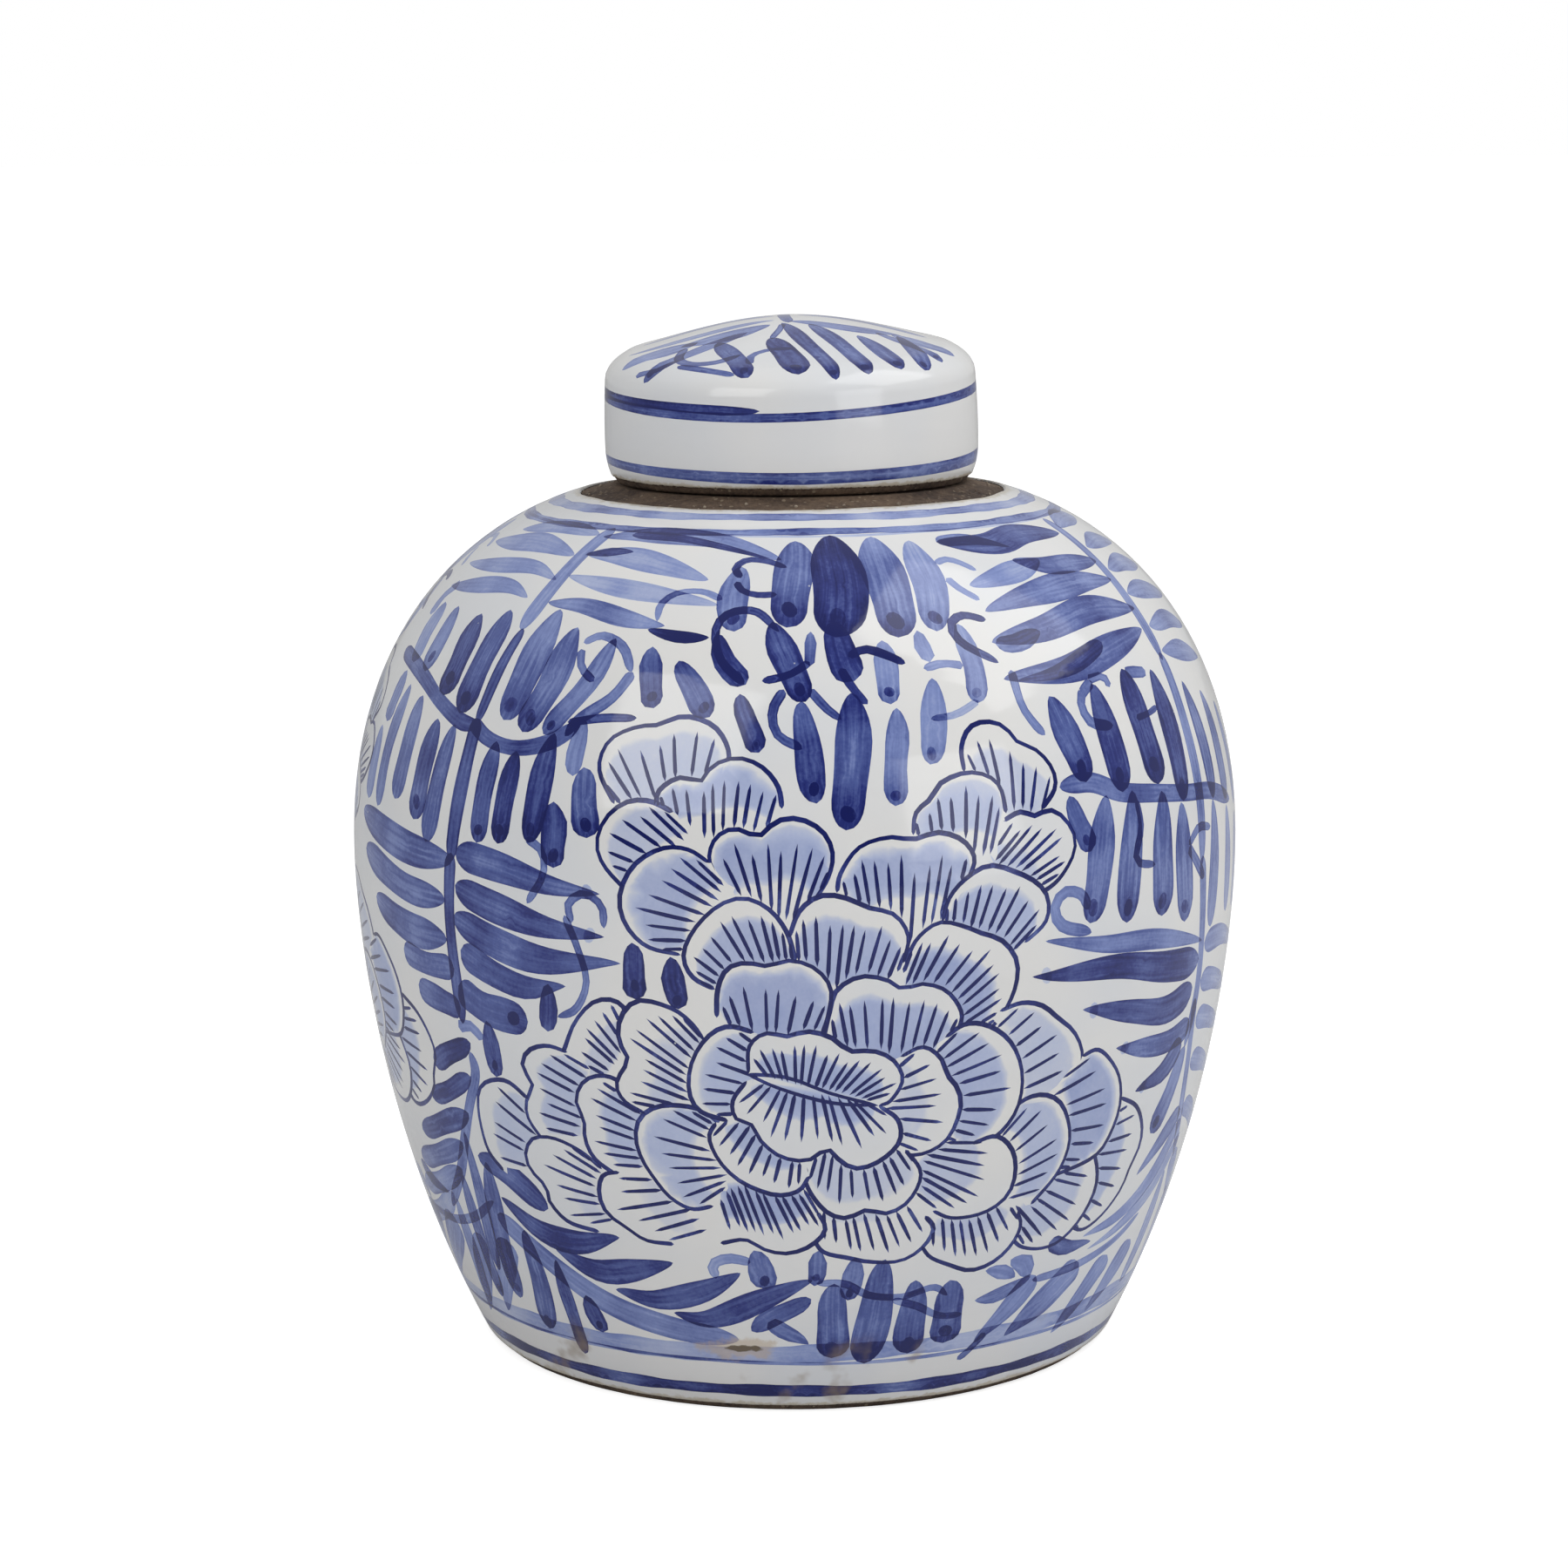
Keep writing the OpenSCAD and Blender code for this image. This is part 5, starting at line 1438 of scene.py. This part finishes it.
def span(tree, value, low, high, to_low=0.0, to_high=1.0):
    """Map a range smoothly onto another."""
    n = put(tree, "ShaderNodeMapRange", {1: low, 2: high, 3: to_low, 4: to_high}, {0: value},
            interpolation_type="SMOOTHSTEP")
    return n.outputs[0]


def blended(tree, share, a, b, mode="MIX"):
    """Mix two colours, each a tuple or a socket."""
    n = tree.nodes.new("ShaderNodeMix")
    n.data_type = "RGBA"
    n.blend_type = mode
    if isinstance(share, (int, float)):
        n.inputs[0].default_value = share
    else:
        tree.links.new(share, n.inputs[0])
    for i, v in ((6, a), (7, b)):
        if isinstance(v, tuple):
            n.inputs[i].default_value = (*v, 1.0)
        else:
            tree.links.new(v, n.inputs[i])
    return n.outputs[2]


def dots(tree, where, scale, radius, seed):
    """Small round marks scattered about, as a mask."""
    moved = put(tree, "ShaderNodeVectorMath", {1: (seed, seed * 2, seed * 3)}, {0: where}, operation="ADD")
    cells = put(tree, "ShaderNodeTexVoronoi", {"Scale": scale}, {"Vector": moved.outputs[0]})
    pick = put(tree, "ShaderNodeSeparateColor", links={0: cells.outputs["Color"]})
    size = times(tree, pick.outputs[0], radius)
    return maths(tree, "LESS_THAN", cells.outputs["Distance"], size)


INK = [(0.0, (0.82, 0.815, 0.80)), (0.2, (0.50, 0.56, 0.76)), (0.4, (0.24, 0.305, 0.59)),
       (0.6, (0.088, 0.125, 0.36)), (0.8, (0.021, 0.033, 0.20)), (1.0, (0.004, 0.009, 0.11))]
# A kiln stain low on the front: its middle in metres, then for its halo and its core the half width
# and half height in metres, where its ragged edge ends, how strong it is and its colour.
STAIN_PLACE = (-0.0125, 0.0, 0.0165)
STAINS = [(0.011, 0.0035, 1.7, 0.55, (0.55, 0.42, 0.27)),
          (0.006, 0.0013, 1.5, 0.9, (0.12, 0.085, 0.04))]


def brushwork_group():
    """Colour of the glaze over its blue brushwork, from how much paint lies under it."""
    tree, given, out = shader_group("Cobalt under glaze", [
        ("Paint", "NodeSocketFloat", 0.0), ("Grain", "NodeSocketVector", (0, 0, 0)),
        ("Place", "NodeSocketVector", (0, 0, 0)), ("Rim", "NodeSocketFloat", 0.0),
        ("Streaks", "NodeSocketFloat", 0.5),
        ("Foot stain", "NodeSocketFloat", 1.0)],
        [("Color", "NodeSocketColor"), ("Height", "NodeSocketFloat"), ("Roughness", "NodeSocketFloat")])
    paint = given.outputs["Paint"]
    where = given.outputs["Place"]
    grain = put(tree, "ShaderNodeSeparateXYZ", links={0: given.outputs["Grain"]})
    run, across, edge = grain.outputs
    along = put(tree, "ShaderNodeCombineXYZ", links={0: times(tree, run, 0.06),
                                                     1: times(tree, across, 0.95)})
    streak = put(tree, "ShaderNodeTexNoise", {"Scale": 1.0, "Detail": 2.0, "Roughness": 0.5},
                 {"Vector": along.outputs[0]})
    blotch = noise_at(tree, where, 130.0, 3.0)
    fine = noise_at(tree, where, 1300.0, 2.0)
    pull = times(tree, maths(tree, "SUBTRACT", streak.outputs[0], 0.5), given.outputs["Streaks"])
    pool = times(tree, maths(tree, "SUBTRACT", blotch, 0.5), 0.5)
    speckle = times(tree, maths(tree, "SUBTRACT", fine, 0.5), 0.25)
    rim = span(tree, edge, 0.55, 1.0, -0.05, 0.10)
    factor = plus(tree, plus(tree, pull, pool), plus(tree, speckle, rim))
    thin = plus(tree, paint, times(tree, maths(tree, "SUBTRACT", blotch, 0.5), 0.3))
    laid = times(tree, paint, span(tree, thin, 0.04, 0.13))
    amount = times(tree, laid, plus(tree, factor, 1.0))
    ramp = tree.nodes.new("ShaderNodeValToRGB")
    tree.links.new(amount, ramp.inputs[0])
    stops = ramp.color_ramp.elements
    stops[0].position, stops[0].color = INK[0][0], (*INK[0][1], 1)
    stops[1].position, stops[1].color = INK[-1][0], (*INK[-1][1], 1)
    for at, colour in INK[1:-1]:
        stop = stops.new(at)
        stop.color = (*colour, 1)
    broad = noise_at(tree, where, 22.0, 2.0)
    tinted = blended(tree, span(tree, broad, 0.35, 0.7), (1.0, 1.0, 1.0), (0.93, 0.955, 1.0))
    colour = blended(tree, 1.0, ramp.outputs[0], tinted, "MULTIPLY")
    pin = times(tree, dots(tree, where, 105.0, 0.035, 0.3), span(tree, paint, 0.4, 0.6))
    colour = blended(tree, times(tree, pin, 0.7), colour, (0.62, 0.64, 0.68))
    speck = dots(tree, where, 42.0, 0.014, 1.7)
    colour = blended(tree, times(tree, speck, 0.8), colour, (0.10, 0.075, 0.05))
    axes = put(tree, "ShaderNodeSeparateXYZ", links={0: where})
    low = span(tree, axes.outputs[2], 0.012, 0.022, 1.0, 0.0)
    patch = span(tree, noise_at(tree, where, 48.0, 4.0), 0.60, 0.70)
    stain = times(tree, times(tree, low, patch), given.outputs["Foot stain"])
    colour = blended(tree, times(tree, stain, 0.62), colour, (0.30, 0.22, 0.14))
    for wide, tall, bound, amount, brown in STAINS:
        off = put(tree, "ShaderNodeVectorMath", {1: STAIN_PLACE}, {0: where}, operation="SUBTRACT")
        flat = put(tree, "ShaderNodeVectorMath", {1: (1 / wide, 0, 1 / tall)}, {0: off.outputs[0]},
                   operation="MULTIPLY")
        reach = put(tree, "ShaderNodeVectorMath", links={0: flat.outputs[0]}, operation="LENGTH")
        uneven = times(tree, noise_at(tree, where, 260.0, 4.0), 1.6)
        spread = span(tree, plus(tree, reach.outputs["Value"], uneven), 1.3, bound, amount, 0.0)
        spot = times(tree, spread, span(tree, axes.outputs[1], -0.03, 0.0, 1.0, 0.0))
        colour = blended(tree, spot, colour, brown)
    nearness = given.outputs["Rim"]
    thinned = plus(tree, nearness, times(tree, noise_at(tree, where, 420.0, 4.0), 0.9))
    colour = blended(tree, span(tree, thinned, 0.85, 1.15, 0.0, 0.85), colour, (0.56, 0.50, 0.39))
    burnt = span(tree, plus(tree, nearness, times(tree, fine, 0.7)), 1.15, 1.35)
    colour = blended(tree, burnt, colour, (0.10, 0.07, 0.05))
    tree.links.new(colour, out.inputs["Color"])
    turning = noise_at(tree, where, 1.0, 2.0, 0.5, (9.0, 9.0, 120.0))
    skin_noise = noise_at(tree, where, 260.0, 2.0)
    height = plus(tree, times(tree, turning, 1.0), times(tree, skin_noise, 0.12))
    tree.links.new(height, out.inputs["Height"])
    tree.links.new(span(tree, broad, 0.3, 0.7, 0.07, 0.13), out.inputs["Roughness"])
    return tree


def clay_group():
    """Colour and grain of coarse fired clay."""
    tree, given, out = shader_group("Coarse clay", [
        ("Place", "NodeSocketVector", (0, 0, 0)), ("Dark", "NodeSocketColor", (0.045, 0.027, 0.02, 1)),
        ("Light", "NodeSocketColor", (0.19, 0.13, 0.085, 1)), ("Grain", "NodeSocketFloat", 900.0)],
        [("Color", "NodeSocketColor"), ("Height", "NodeSocketFloat")])
    where = given.outputs["Place"]
    broad = noise_at(tree, where, 90.0, 4.0, 0.6)
    grain = put(tree, "ShaderNodeTexNoise", {"Detail": 5.0, "Roughness": 0.7},
                {"Vector": where, "Scale": given.outputs["Grain"]})
    share = plus(tree, times(tree, broad, 0.6), times(tree, grain.outputs[0], 0.5))
    colour = blended(tree, span(tree, share, 0.38, 0.72), given.outputs["Dark"], given.outputs["Light"])
    pale = dots(tree, where, 620.0, 0.3, 0.9)
    colour = blended(tree, times(tree, pale, 0.6), colour, (0.34, 0.27, 0.19))
    tree.links.new(colour, out.inputs["Color"])
    tree.links.new(plus(tree, grain.outputs[0], broad), out.inputs["Height"])
    return tree


def new_material(name):
    """An empty material with its shader, and a node that gives object coordinates."""
    material = bpy.data.materials.new(name)
    material.use_nodes = True
    tree = material.node_tree
    tree.nodes.clear()
    shader = tree.nodes.new("ShaderNodeBsdfPrincipled")
    output = tree.nodes.new("ShaderNodeOutputMaterial")
    tree.links.new(shader.outputs[0], output.inputs[0])
    place = tree.nodes.new("ShaderNodeTexCoord")
    return material, tree, shader, place.outputs["Object"]


def bumped(tree, shader, height, distance, strength=1.0):
    """Drive the shader's normal from a height."""
    bump = put(tree, "ShaderNodeBump", {"Strength": strength, "Distance": distance}, {"Height": height})
    tree.links.new(bump.outputs[0], shader.inputs["Normal"])


def glaze_material(group):
    """Clear glaze over blue brushwork."""
    material, tree, shader, place = new_material("Painted glaze")
    paint = put(tree, "ShaderNodeAttribute", attribute_name="paint")
    grain = put(tree, "ShaderNodeAttribute", attribute_name="grain")
    look = put(tree, "ShaderNodeGroup", links=None)
    look.node_tree = group
    tree.links.new(paint.outputs["Fac"], look.inputs["Paint"])
    tree.links.new(grain.outputs["Vector"], look.inputs["Grain"])
    tree.links.new(place, look.inputs["Place"])
    rim = put(tree, "ShaderNodeAttribute", attribute_name="rim")
    tree.links.new(rim.outputs["Fac"], look.inputs["Rim"])
    look.inputs["Streaks"].default_value = 0.8
    tree.links.new(look.outputs["Color"], shader.inputs["Base Color"])
    tree.links.new(look.outputs["Roughness"], shader.inputs["Roughness"])
    bumped(tree, shader, look.outputs["Height"], 0.25 * MM)
    return material


def clay_material(name, group, dark, light, grain, roughness, depth):
    """Bare clay."""
    material, tree, shader, place = new_material(name)
    look = put(tree, "ShaderNodeGroup")
    look.node_tree = group
    tree.links.new(place, look.inputs["Place"])
    look.inputs["Dark"].default_value = (*dark, 1)
    look.inputs["Light"].default_value = (*light, 1)
    look.inputs["Grain"].default_value = grain
    tree.links.new(look.outputs["Color"], shader.inputs["Base Color"])
    shader.inputs["Roughness"].default_value = roughness
    bumped(tree, shader, look.outputs["Height"], depth)
    return material


# ---------------------------------------------------------------- settings


class JarSettings(bpy.types.PropertyGroup):
    """What can be changed on the jar."""

    seed: bpy.props.IntProperty(
        name="Seed", description="Number that fixes the clay's and the grit's pattern", default=4)
    clay_rough: bpy.props.FloatProperty(
        name="Clay roughness", description="Depth of the bare clay's pits, in millimetres",
        default=0.25, min=0, max=0.6)
    grit_density: bpy.props.FloatProperty(
        name="Grit density", description="Crumbs to a square metre of bare ring", default=30000, min=0)
    grit_largest: bpy.props.FloatProperty(
        name="Largest crumb", description="Radius of the largest crumb, in millimetres",
        default=0.42, min=0.1, max=0.8)


class StageSettings(bpy.types.PropertyGroup):
    """What can be changed on the stage."""

    key_power: bpy.props.FloatProperty(
        name="Key light", description="Power of the soft light in front", default=5.1, unit="POWER")
    top_power: bpy.props.FloatProperty(
        name="Top light", description="Power of the light overhead", default=4.0, unit="POWER")
    fill_power: bpy.props.FloatProperty(
        name="Fill light", description="Power of the light on the right", default=4.0, unit="POWER")
    lens: bpy.props.FloatProperty(
        name="Lens", description="Focal length on a 36 mm sensor", default=83.64, unit="CAMERA")


# ---------------------------------------------------------------- what makes each group of pieces


def shared(name, make):
    """A node group or material made once and used again."""
    for store in (bpy.data.materials, bpy.data.node_groups):
        if name in store:
            return store[name]
    return make()


def painted():
    return shared("Painted glaze", lambda: glaze_material(brushwork_group()))


def bare_clay():
    group = shared("Coarse clay", clay_group)
    return shared("Bare clay", lambda: clay_material(
        "Bare clay", group, (0.040, 0.024, 0.018), (0.17, 0.115, 0.075), 900.0, 0.85, 0.5 * MM))


def lining_glaze():
    group = shared("Coarse clay", clay_group)
    return shared("Lining glaze", lambda: clay_material(
        "Lining glaze", group, (0.52, 0.51, 0.46), (0.66, 0.66, 0.62), 160.0, 0.16, 0.15 * MM))


def crumb_clay():
    group = shared("Coarse clay", clay_group)
    return shared("Crumbs", lambda: clay_material(
        "Crumbs", group, (0.09, 0.06, 0.045), (0.42, 0.35, 0.27), 1500.0, 0.8, 0.2 * MM))


def settle(obj, body, slot, *nodes):
    """Put a finished piece in the frame: what it rides on, and the CAD parts it stands for, which are hidden.
    The slot is not used.
    """
    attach(obj, body)
    if nodes:
        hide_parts(*nodes)


class OBJECT_OT_jar_clay(bpy.types.Operator):
    """Make the jar's turned clay body with its bare ring, neck and foot"""

    bl_idname = "object.jar_clay"
    bl_label = "Jar clay"

    def execute(self, context):
        settings = context.scene.ginger_jar
        points = jar_clay_outline()
        bare = [bareness(r, z) for r, z in points]
        tree = shared("Turned clay", turned_tree)
        obj = turned("jar_clay", points, tree, bare_clay(), bare,
                     rough=settings.clay_rough, seed=float(settings.seed))
        settle(obj, "jar", "clay", "jar_body")
        return {"FINISHED"}


class OBJECT_OT_jar_coat(bpy.types.Operator):
    """Make the jar's painted outer glaze"""

    bl_idname = "object.jar_coat"
    bl_label = "Jar coat"

    def execute(self, context):
        obj = make_jar_coat()
        obj.data.materials.append(painted())
        settle(obj, "jar", "outer_glaze", "jar_outer_glaze")
        return {"FINISHED"}


class OBJECT_OT_jar_linings(bpy.types.Operator):
    """Make the glaze inside the jar and under its foot"""

    bl_idname = "object.jar_linings"
    bl_label = "Jar linings"

    def execute(self, context):
        tree = shared("Turned clay", turned_tree)
        top = SEAT_Z - 2 * WALL
        outside = cavity(COAT + WALL + 0.02, FLOOR_Z + 0.02, top)
        inside_face = cavity(COAT + WALL + LINING, FLOOR_Z + LINING, top)
        obj = turned("jar_lining", inside_face + outside[::-1], tree, lining_glaze())
        settle(obj, "jar", "inner_glaze", "jar_inner_glaze")
        r = RECESS_R - 4
        low = RECESS_H - LINING
        high = RECESS_H - 0.02
        disc = [(0, high), (r / 2, high), (r - 0.3, high), (r, RECESS_H - 0.15), (r - 0.1, low + 0.08),
                (r - 0.4, low), (r / 2, low), (0, low)]
        obj = turned("jar_base_coat", disc, tree, lining_glaze())
        settle(obj, "jar", "outer_glaze", "jar_base_glaze")
        return {"FINISHED"}


class OBJECT_OT_jar_grit(bpy.types.Operator):
    """Scatter kiln crumbs over the bare ring round the neck"""

    bl_idname = "object.jar_grit"
    bl_label = "Kiln grit"

    def execute(self, context):
        settings = context.scene.ginger_jar
        ring = skin(COAT, JAR.s_at_r(BARE_RING_R - 0.6, S_BELLY), JAR.s_at_r(42.8, S_BELLY), 8)
        low = SEAT_Z - 12
        section = [(44, low)] + ring + [(43, low)]
        base = turned("grit_base", section, shared("Turned clay", turned_tree), bare_clay())
        on_ring = [float(v.co.z > (SEAT_Z - 8) * MM) for v in base.data.vertices]
        base.data.attributes.new("here", "FLOAT", "POINT").data.foreach_set("value", on_ring)
        obj = grown(base, shared("Kiln grit", grit_tree), "jar_ring_grit", {
            "Density": settings.grit_density, "Largest": settings.grit_largest * MM,
            "Seed": settings.seed, "Material": crumb_clay()})
        settle(obj, "jar", "clay")
        return {"FINISHED"}


class OBJECT_OT_lid_pieces(bpy.types.Operator):
    """Make the lid's turned clay, its painted outer glaze and its lining"""

    bl_idname = "object.lid_pieces"
    bl_label = "Lid"

    def execute(self, context):
        settings = context.scene.ginger_jar
        tree = shared("Turned clay", turned_tree)
        outside, hollow = lid_clay_outline()
        bare = [float(eased((RIM_Z + 2.5 - z) / 2)) for _, z in outside + hollow]
        outer = [1.0] * len(outside) + [0.0] * len(hollow)
        clay = turned("lid_clay", outside + hollow, tree, bare_clay(), bare, outer,
                      rough=settings.clay_rough * 0.6, seed=settings.seed + 3.0)
        co = np.zeros(len(clay.data.vertices) * 3)
        share = np.zeros(len(clay.data.vertices))
        clay.data.vertices.foreach_get("co", co)
        clay.data.attributes["outer"].data.foreach_get("value", share)
        clay.data.vertices.foreach_set("co", (lean(co.reshape(-1, 3) / MM, share) * MM).ravel())
        clay.data.update()
        settle(clay, "lid", "clay", "lid_body")

        coat = make_lid_coat()
        coat.data.materials.append(painted())
        settle(coat, "lid", "outer_glaze", "lid_outer_glaze")

        low = RIM_Z + 3 * BARE_RIM
        rim = [(LID_IN_R - LINING / 2, low - 0.12)]
        section = lid_hollow_outline(0.02, low)[::-1] + rim + lid_hollow_outline(LINING, low + 0.05)
        lining = turned("lid_lining", section, tree, lining_glaze())
        settle(lining, "lid", "inner_glaze", "lid_inner_glaze")
        return {"FINISHED"}


# Where each light hangs, its width and its height, in metres, and the setting that holds its power.
LIGHTS = {"key": ((-0.62, -0.96, 0.83), 0.8, 0.9, "key_power"),
          "overhead": ((0.62, -0.08, 1.0), 0.8, None, "top_power"),
          "fill": ((1.0, -1.1, 0.45), 0.8, None, "fill_power")}
LIT_POINT = (0, 0, 0.11)
FLOOR_HALF = 60
CAMERA_PLACE = (0, -0.8137, 0.2654)
CAMERA_PITCH = math.radians(90 - 11.86)
CAMERA_ROLL = math.radians(-0.45)
CAMERA_SHIFT = (-0.0073, 0.0805)


def aimed_area(name, place, target, size, power, tall):
    """A soft square light, or a rectangular one if a height is given, aimed at a point."""
    data = bpy.data.lights.new(name, "AREA")
    data.energy = power
    data.size = size
    if tall:
        data.shape = "RECTANGLE"
        data.size_y = tall
    obj = bpy.data.objects.new(name, data)
    obj.location = place
    obj.rotation_euler = (Vector(target) - Vector(place)).to_track_quat("-Z", "Y").to_euler()
    bpy.context.scene.collection.objects.link(obj)


class SCENE_OT_jar_stage(bpy.types.Operator):
    """Make the floor, the lights, the sky and the camera"""

    bl_idname = "scene.jar_stage"
    bl_label = "Stage"

    def execute(self, context):
        scene = context.scene
        settings = scene.ginger_stage
        material, tree, shader, _ = new_material("Paper")
        shader.inputs["Base Color"].default_value = (0.72, 0.72, 0.72, 1)
        shader.inputs["Roughness"].default_value = 0.9
        shader.inputs["Emission Color"].default_value = (1, 1, 1, 1)
        rays = tree.nodes.new("ShaderNodeLightPath")
        glow = put(tree, "ShaderNodeMapRange", {3: 0.0, 4: 0.75}, {0: rays.outputs["Is Camera Ray"]})
        tree.links.new(glow.outputs[0], shader.inputs["Emission Strength"])
        data = bpy.data.meshes.new("floor")
        h = FLOOR_HALF
        data.from_pydata([(-h, -h, 0), (h, -h, 0), (h, h, 0), (-h, h, 0)], [], [(0, 1, 2, 3)])
        data.materials.append(material)
        floor = bpy.data.objects.new("floor", data)
        scene.collection.objects.link(floor)

        for name, (where, size, tall, power) in LIGHTS.items():
            aimed_area(name, where, LIT_POINT, size, getattr(settings, power), tall)

        world = bpy.data.worlds.new("Studio")
        world.use_nodes = True
        scene.world = world
        tree = world.node_tree
        back = tree.nodes["Background"]
        back.inputs[0].default_value = (1, 1, 1, 1)
        rays = tree.nodes.new("ShaderNodeLightPath")
        direction = tree.nodes.new("ShaderNodeTexCoord").outputs["Generated"]
        axes = put(tree, "ShaderNodeSeparateXYZ", links={0: direction})
        depth = span(tree, axes.outputs[1], -0.9, 0.4, 0.16, 0.5)
        lift = span(tree, axes.outputs[2], 0.0, 1.0, 1.0, 1.3)
        room = times(tree, depth, lift)
        seen = rays.outputs["Is Camera Ray"]
        unseen = maths(tree, "SUBTRACT", 1.0, seen)
        strength = plus(tree, times(tree, room, unseen), seen)
        tree.links.new(strength, back.inputs[1])
        scene.view_settings.view_transform = "Standard"

        lens = bpy.data.cameras.new("camera")
        lens.lens = settings.lens
        lens.sensor_width = 36
        lens.clip_start = 0.05
        lens.clip_end = 200
        camera = bpy.data.objects.new("camera", lens)
        camera.location = CAMERA_PLACE
        camera.rotation_euler = (CAMERA_PITCH, 0, 0)
        camera.rotation_euler.rotate_axis("Z", CAMERA_ROLL)
        lens.shift_x, lens.shift_y = CAMERA_SHIFT
        scene.collection.objects.link(camera)
        scene.camera = camera
        return {"FINISHED"}


STEPS = [OBJECT_OT_jar_clay, OBJECT_OT_jar_coat, OBJECT_OT_jar_linings, OBJECT_OT_jar_grit,
         OBJECT_OT_lid_pieces, SCENE_OT_jar_stage]


class VIEW3D_PT_ginger_jar(bpy.types.Panel):
    """Buttons that make the jar, piece by piece."""

    bl_label = "Ginger jar"
    bl_idname = "VIEW3D_PT_ginger_jar"
    bl_space_type = "VIEW_3D"
    bl_region_type = "UI"
    bl_category = "Ginger jar"

    def draw(self, context):
        for settings in (context.scene.ginger_jar, context.scene.ginger_stage):
            for name in settings.__annotations__:
                self.layout.prop(settings, name)
        for step in STEPS:
            self.layout.operator(step.bl_idname)


CLASSES = [JarSettings, StageSettings, *STEPS, VIEW3D_PT_ginger_jar]


def register():
    for cls in CLASSES:
        bpy.utils.register_class(cls)
    bpy.types.Scene.ginger_jar = bpy.props.PointerProperty(type=JarSettings)
    bpy.types.Scene.ginger_stage = bpy.props.PointerProperty(type=StageSettings)


def unregister():
    del bpy.types.Scene.ginger_stage
    del bpy.types.Scene.ginger_jar
    for cls in reversed(CLASSES):
        bpy.utils.unregister_class(cls)


def main():
    """Make everything, step by step."""
    register()
    for step in STEPS:
        group, name = step.bl_idname.split(".")
        if "FINISHED" not in getattr(getattr(bpy.ops, group), name)():
            raise RuntimeError(f"{step.bl_label} did not finish")


if __name__ == "__main__":
    main()
